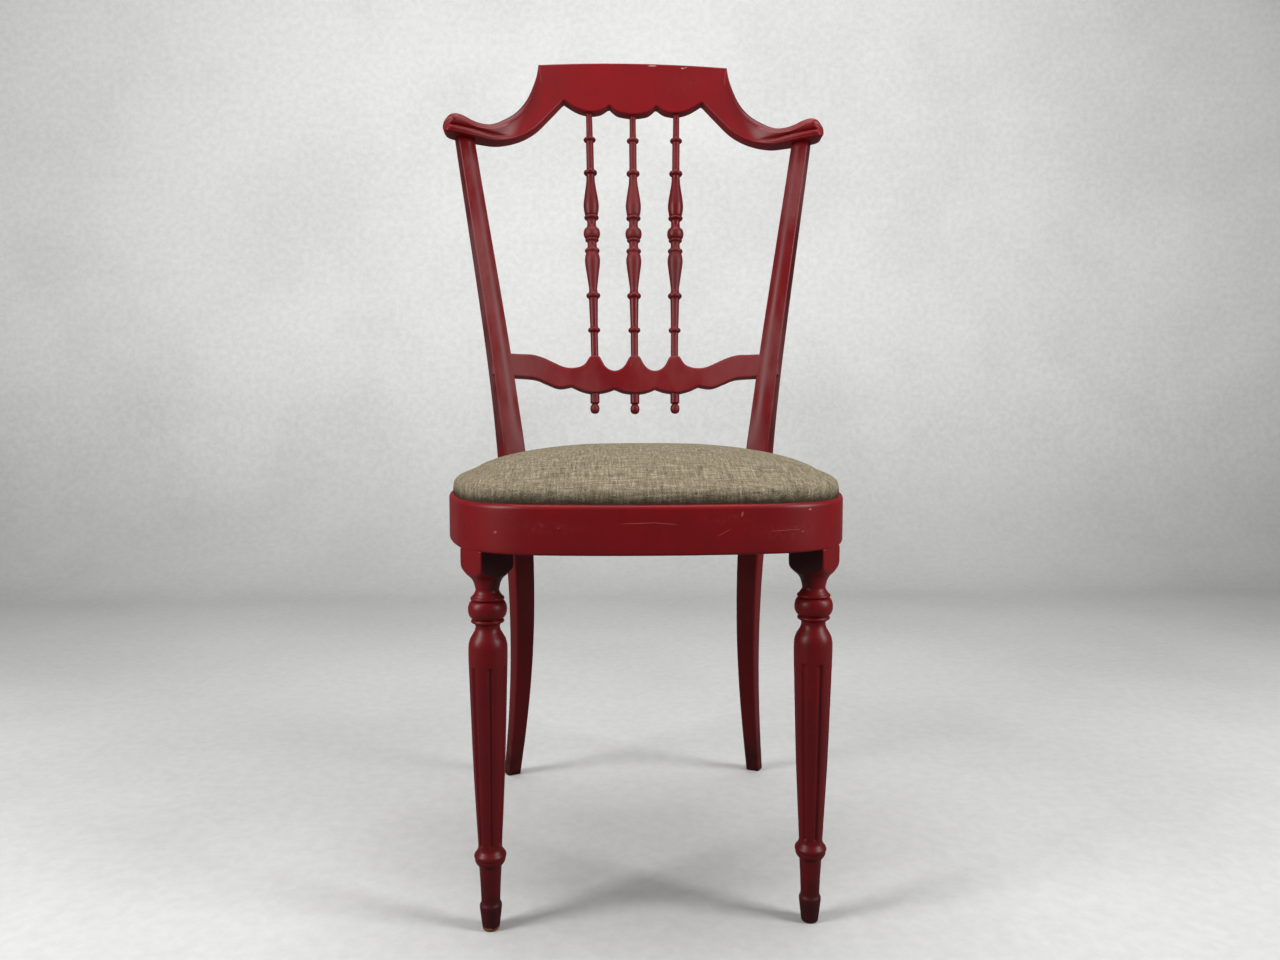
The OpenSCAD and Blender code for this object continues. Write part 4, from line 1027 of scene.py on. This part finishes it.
# A fold of cloth stands out over the rim on the right side.
fold = np.exp(-((turn - 86) / 5.0) ** 2) * np.exp(-((z_mm - 411) / 3.2) ** 2)
points[:, :2] += out_dir * (fold * 3.2 * MM)[:, None]
pad.data.vertices.foreach_set("co", points.ravel())
pad.data.update()
for face in pad.data.polygons:
    face.use_smooth = True
print("pad", len(pad.data.polygons), "faces, top", round(float(z_mm.max()), 1))

# %% [markdown]
# ## Underneath
# Turned over, the chair shows the linen's margin stapled up under the plywood board, and
# four corner blocks screwed inside the frame. The board, blocks, screws and staples are
# already the right shape, so they only get their finishes. The margin is a thin wavy
# ribbon of the same linen.

# %% The cover's margin
board_low, cloth_low = 397.15, 396.1
margin_rows = []
for h in all_headings:
    step = math.degrees(h)
    wavy = 1.6 * math.sin(step * 0.55) + 0.9 * math.sin(step * 1.7 + 1)
    inner = ring_t + 7 + wavy * 0.7
    section = [(8, cloth_low), (20, cloth_low), (inner - 1, cloth_low), (inner, cloth_low + 0.5),
               (inner - 1, board_low), (20, board_low), (8, board_low)]
    margin_rows.append([(*plan_point(h, min(inset, 45)), z) for inset, z in section])
verts, faces = skin_rows(margin_rows, closed_stack=True)
new_piece("linen_margin", verts, [f[::-1] for f in faces], linen_cover, ["seat_cover"])


# %% Wood without lacquer
def raw_wood(name, light, dark, grain=(1, 0.06, 1), scale=220):
    """Unfinished wood; the grain runs along the axis with the small number."""
    finish, tree, shader, place = new_finish(name)
    figure = noise(place, scale, 4, 0.65, grain)
    pores = noise(place, scale * 4, 2, 0.5, grain)
    colour = mix_colours(figure.between(0.3, 0.7), written(*light), written(*dark))
    colour = mix_colours(pores.between(0.62, 0.7) * 0.5, colour, written(*(int(c * 0.6) for c in dark)))
    stain = noise(place, 12, 3).between(0.5, 0.75)
    colour = mix_colours(stain * 0.25, colour, written(90, 66, 46))
    bump = make_node(tree, "ShaderNodeBump", Strength=0.25, Distance=0.0004, Height=figure + pores * 0.5)
    feed(tree, shader, Base_Color=colour, Roughness=0.72 + figure * 0.1, Normal=bump)
    return finish


def dull_steel(name):
    finish, tree, shader, place = new_finish(name)
    cloud = noise(place, 500, 4, 0.6)
    rust = noise(place, 180, 3).between(0.56, 0.7)
    colour = mix_colours(cloud, written(150, 150, 150), written(188, 188, 186))
    colour = mix_colours(rust * 0.6, colour, written(110, 72, 44))
    feed(tree, shader, Base_Color=colour, Metallic=1 - rust * 0.7, Roughness=0.42 + rust * 0.3)
    return finish


def aged_foam(name):
    finish, tree, shader, place = new_finish(name)
    cells = noise(place, 1500, 2)
    colour = mix_colours(cells.between(0.3, 0.7), written(206, 184, 128), written(226, 208, 158))
    bump = make_node(tree, "ShaderNodeBump", Strength=0.5, Distance=0.0005, Height=cells)
    feed(tree, shader, Base_Color=colour, Roughness=0.95, Normal=bump)
    return finish


plywood = raw_wood("plywood_face", (196, 158, 112), (170, 128, 84), (0.05, 1, 1), 160)
block_wood = raw_wood("corner_block_wood", (186, 146, 100), (150, 108, 68))
steel = dull_steel("dull_zinc")
foam = aged_foam("aged_foam")
plain_nodes = {"seat_board": plywood, "seat_foam": foam, "block_screws": steel, "seat_screws": steel,
               "post_screws": steel, "cover_staples": steel, "crest_dowels": block_wood}
for name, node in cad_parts.items():
    finish = plain_nodes.get(name) or (block_wood if name.startswith("corner_block") else None)
    if finish is None:
        finish = linen_cover if name == "seat_cover" else plain_lacquer
    node.data.materials.clear()
    node.data.materials.append(finish)
print("finishes on", len(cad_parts), "solid nodes")

# %% [markdown]
# ## Floor, light and camera
# The chair stands on a pale floor that curves up into a backdrop, between two large soft
# lights at each side. They leave the faces towards the camera darker and put a pair of long
# highlights on every turning.

# %% Floor and backdrop
def backdrop():
    finish, tree, shader, place = new_finish("pale_backdrop")
    grain = noise(place, 60, 5, 0.7)
    cloud = noise(place, 2.2, 4, 0.6)
    x, y, z = position_parts(place)
    pale = mix_colours(z.between(0.02, 0.6), written(206, 206, 204), written(232, 232, 230))
    seen = mix_colours(grain.between(0.3, 0.7) * 0.25 + cloud.between(0.35, 0.7) * 0.2,
                       pale, written(172, 172, 170))
    # The room throws back less light than the floor shows, which keeps the undersides dark.
    direct = make_node(tree, "ShaderNodeLightPath", None, 0)
    colour = mix_colours(direct, written(112, 112, 110), seen)
    feed(tree, shader, Base_Color=colour, Roughness=0.9, Emission_Strength=1.0,
         Emission_Color=mix_colours(direct * z.between(0.1, 0.8), (0, 0, 0), (0.12, 0.12, 0.118)))
    profile = [(-3000, 0), (1400, 0)]
    profile += [(1400 + 500 * math.sin(a), 500 - 500 * math.cos(a))
                for a in np.radians(np.linspace(0, 90, 13))[1:]]
    profile += [(1900, 3200)]
    verts, faces = [], []
    for y, z in profile:
        verts += [(-4000, y, z), (4000, y, z)]
    faces = [(2 * i, 2 * i + 1, 2 * i + 3, 2 * i + 2) for i in range(len(profile) - 1)]
    mesh = bpy.data.meshes.new("backdrop")
    mesh.from_pydata([tuple(c * MM for c in v) for v in verts], [], faces)
    for face in mesh.polygons:
        face.use_smooth = True
    mesh.materials.append(finish)
    sheet = bpy.data.objects.new("backdrop", mesh)
    bpy.context.scene.collection.objects.link(sheet)


backdrop()


# %% Lights
def soft_light(name, place, aim, size, power):
    lamp = bpy.data.lights.new(name, "AREA")
    lamp.shape, lamp.size, lamp.size_y, lamp.energy = "RECTANGLE", size[0], size[1], power
    holder = bpy.data.objects.new(name, lamp)
    holder.location = place
    holder.rotation_euler = (Vector(aim) - Vector(place)).to_track_quat("-Z", "Y").to_euler()
    bpy.context.scene.collection.objects.link(holder)


soft_light("left_softbox", (-1.65, -0.85, 1.3), (0, 0.1, 0.6), (0.6, 1.3), 36)
soft_light("right_softbox", (1.65, -0.85, 1.3), (0, 0.1, 0.6), (0.6, 1.3), 35)
soft_light("overhead", (0, 0.1, 2.7), (0, 0.1, 0.4), (2.0, 1.4), 40)
world = bpy.data.worlds.new("studio")
bpy.context.scene.world = world
world.use_nodes = True
sky = world.node_tree.nodes["Background"]
sky.inputs["Color"].default_value = (0.93, 0.94, 0.95, 1)
sky.inputs["Strength"].default_value = 0.12

# %% Camera
camera = bpy.data.cameras.new("camera")
camera.sensor_width = 36.0
camera.lens = 36.0 * 970 / 1280
camera_holder = bpy.data.objects.new("camera", camera)
camera_holder.location = (-0.054, (-885 + leg_line_y) * MM, 0.486)
camera_holder.rotation_euler = (math.radians(85.87), 0, math.radians(-2.78))
bpy.context.scene.collection.objects.link(camera_holder)
bpy.context.scene.camera = camera_holder
bpy.context.scene.view_settings.view_transform = "Standard"
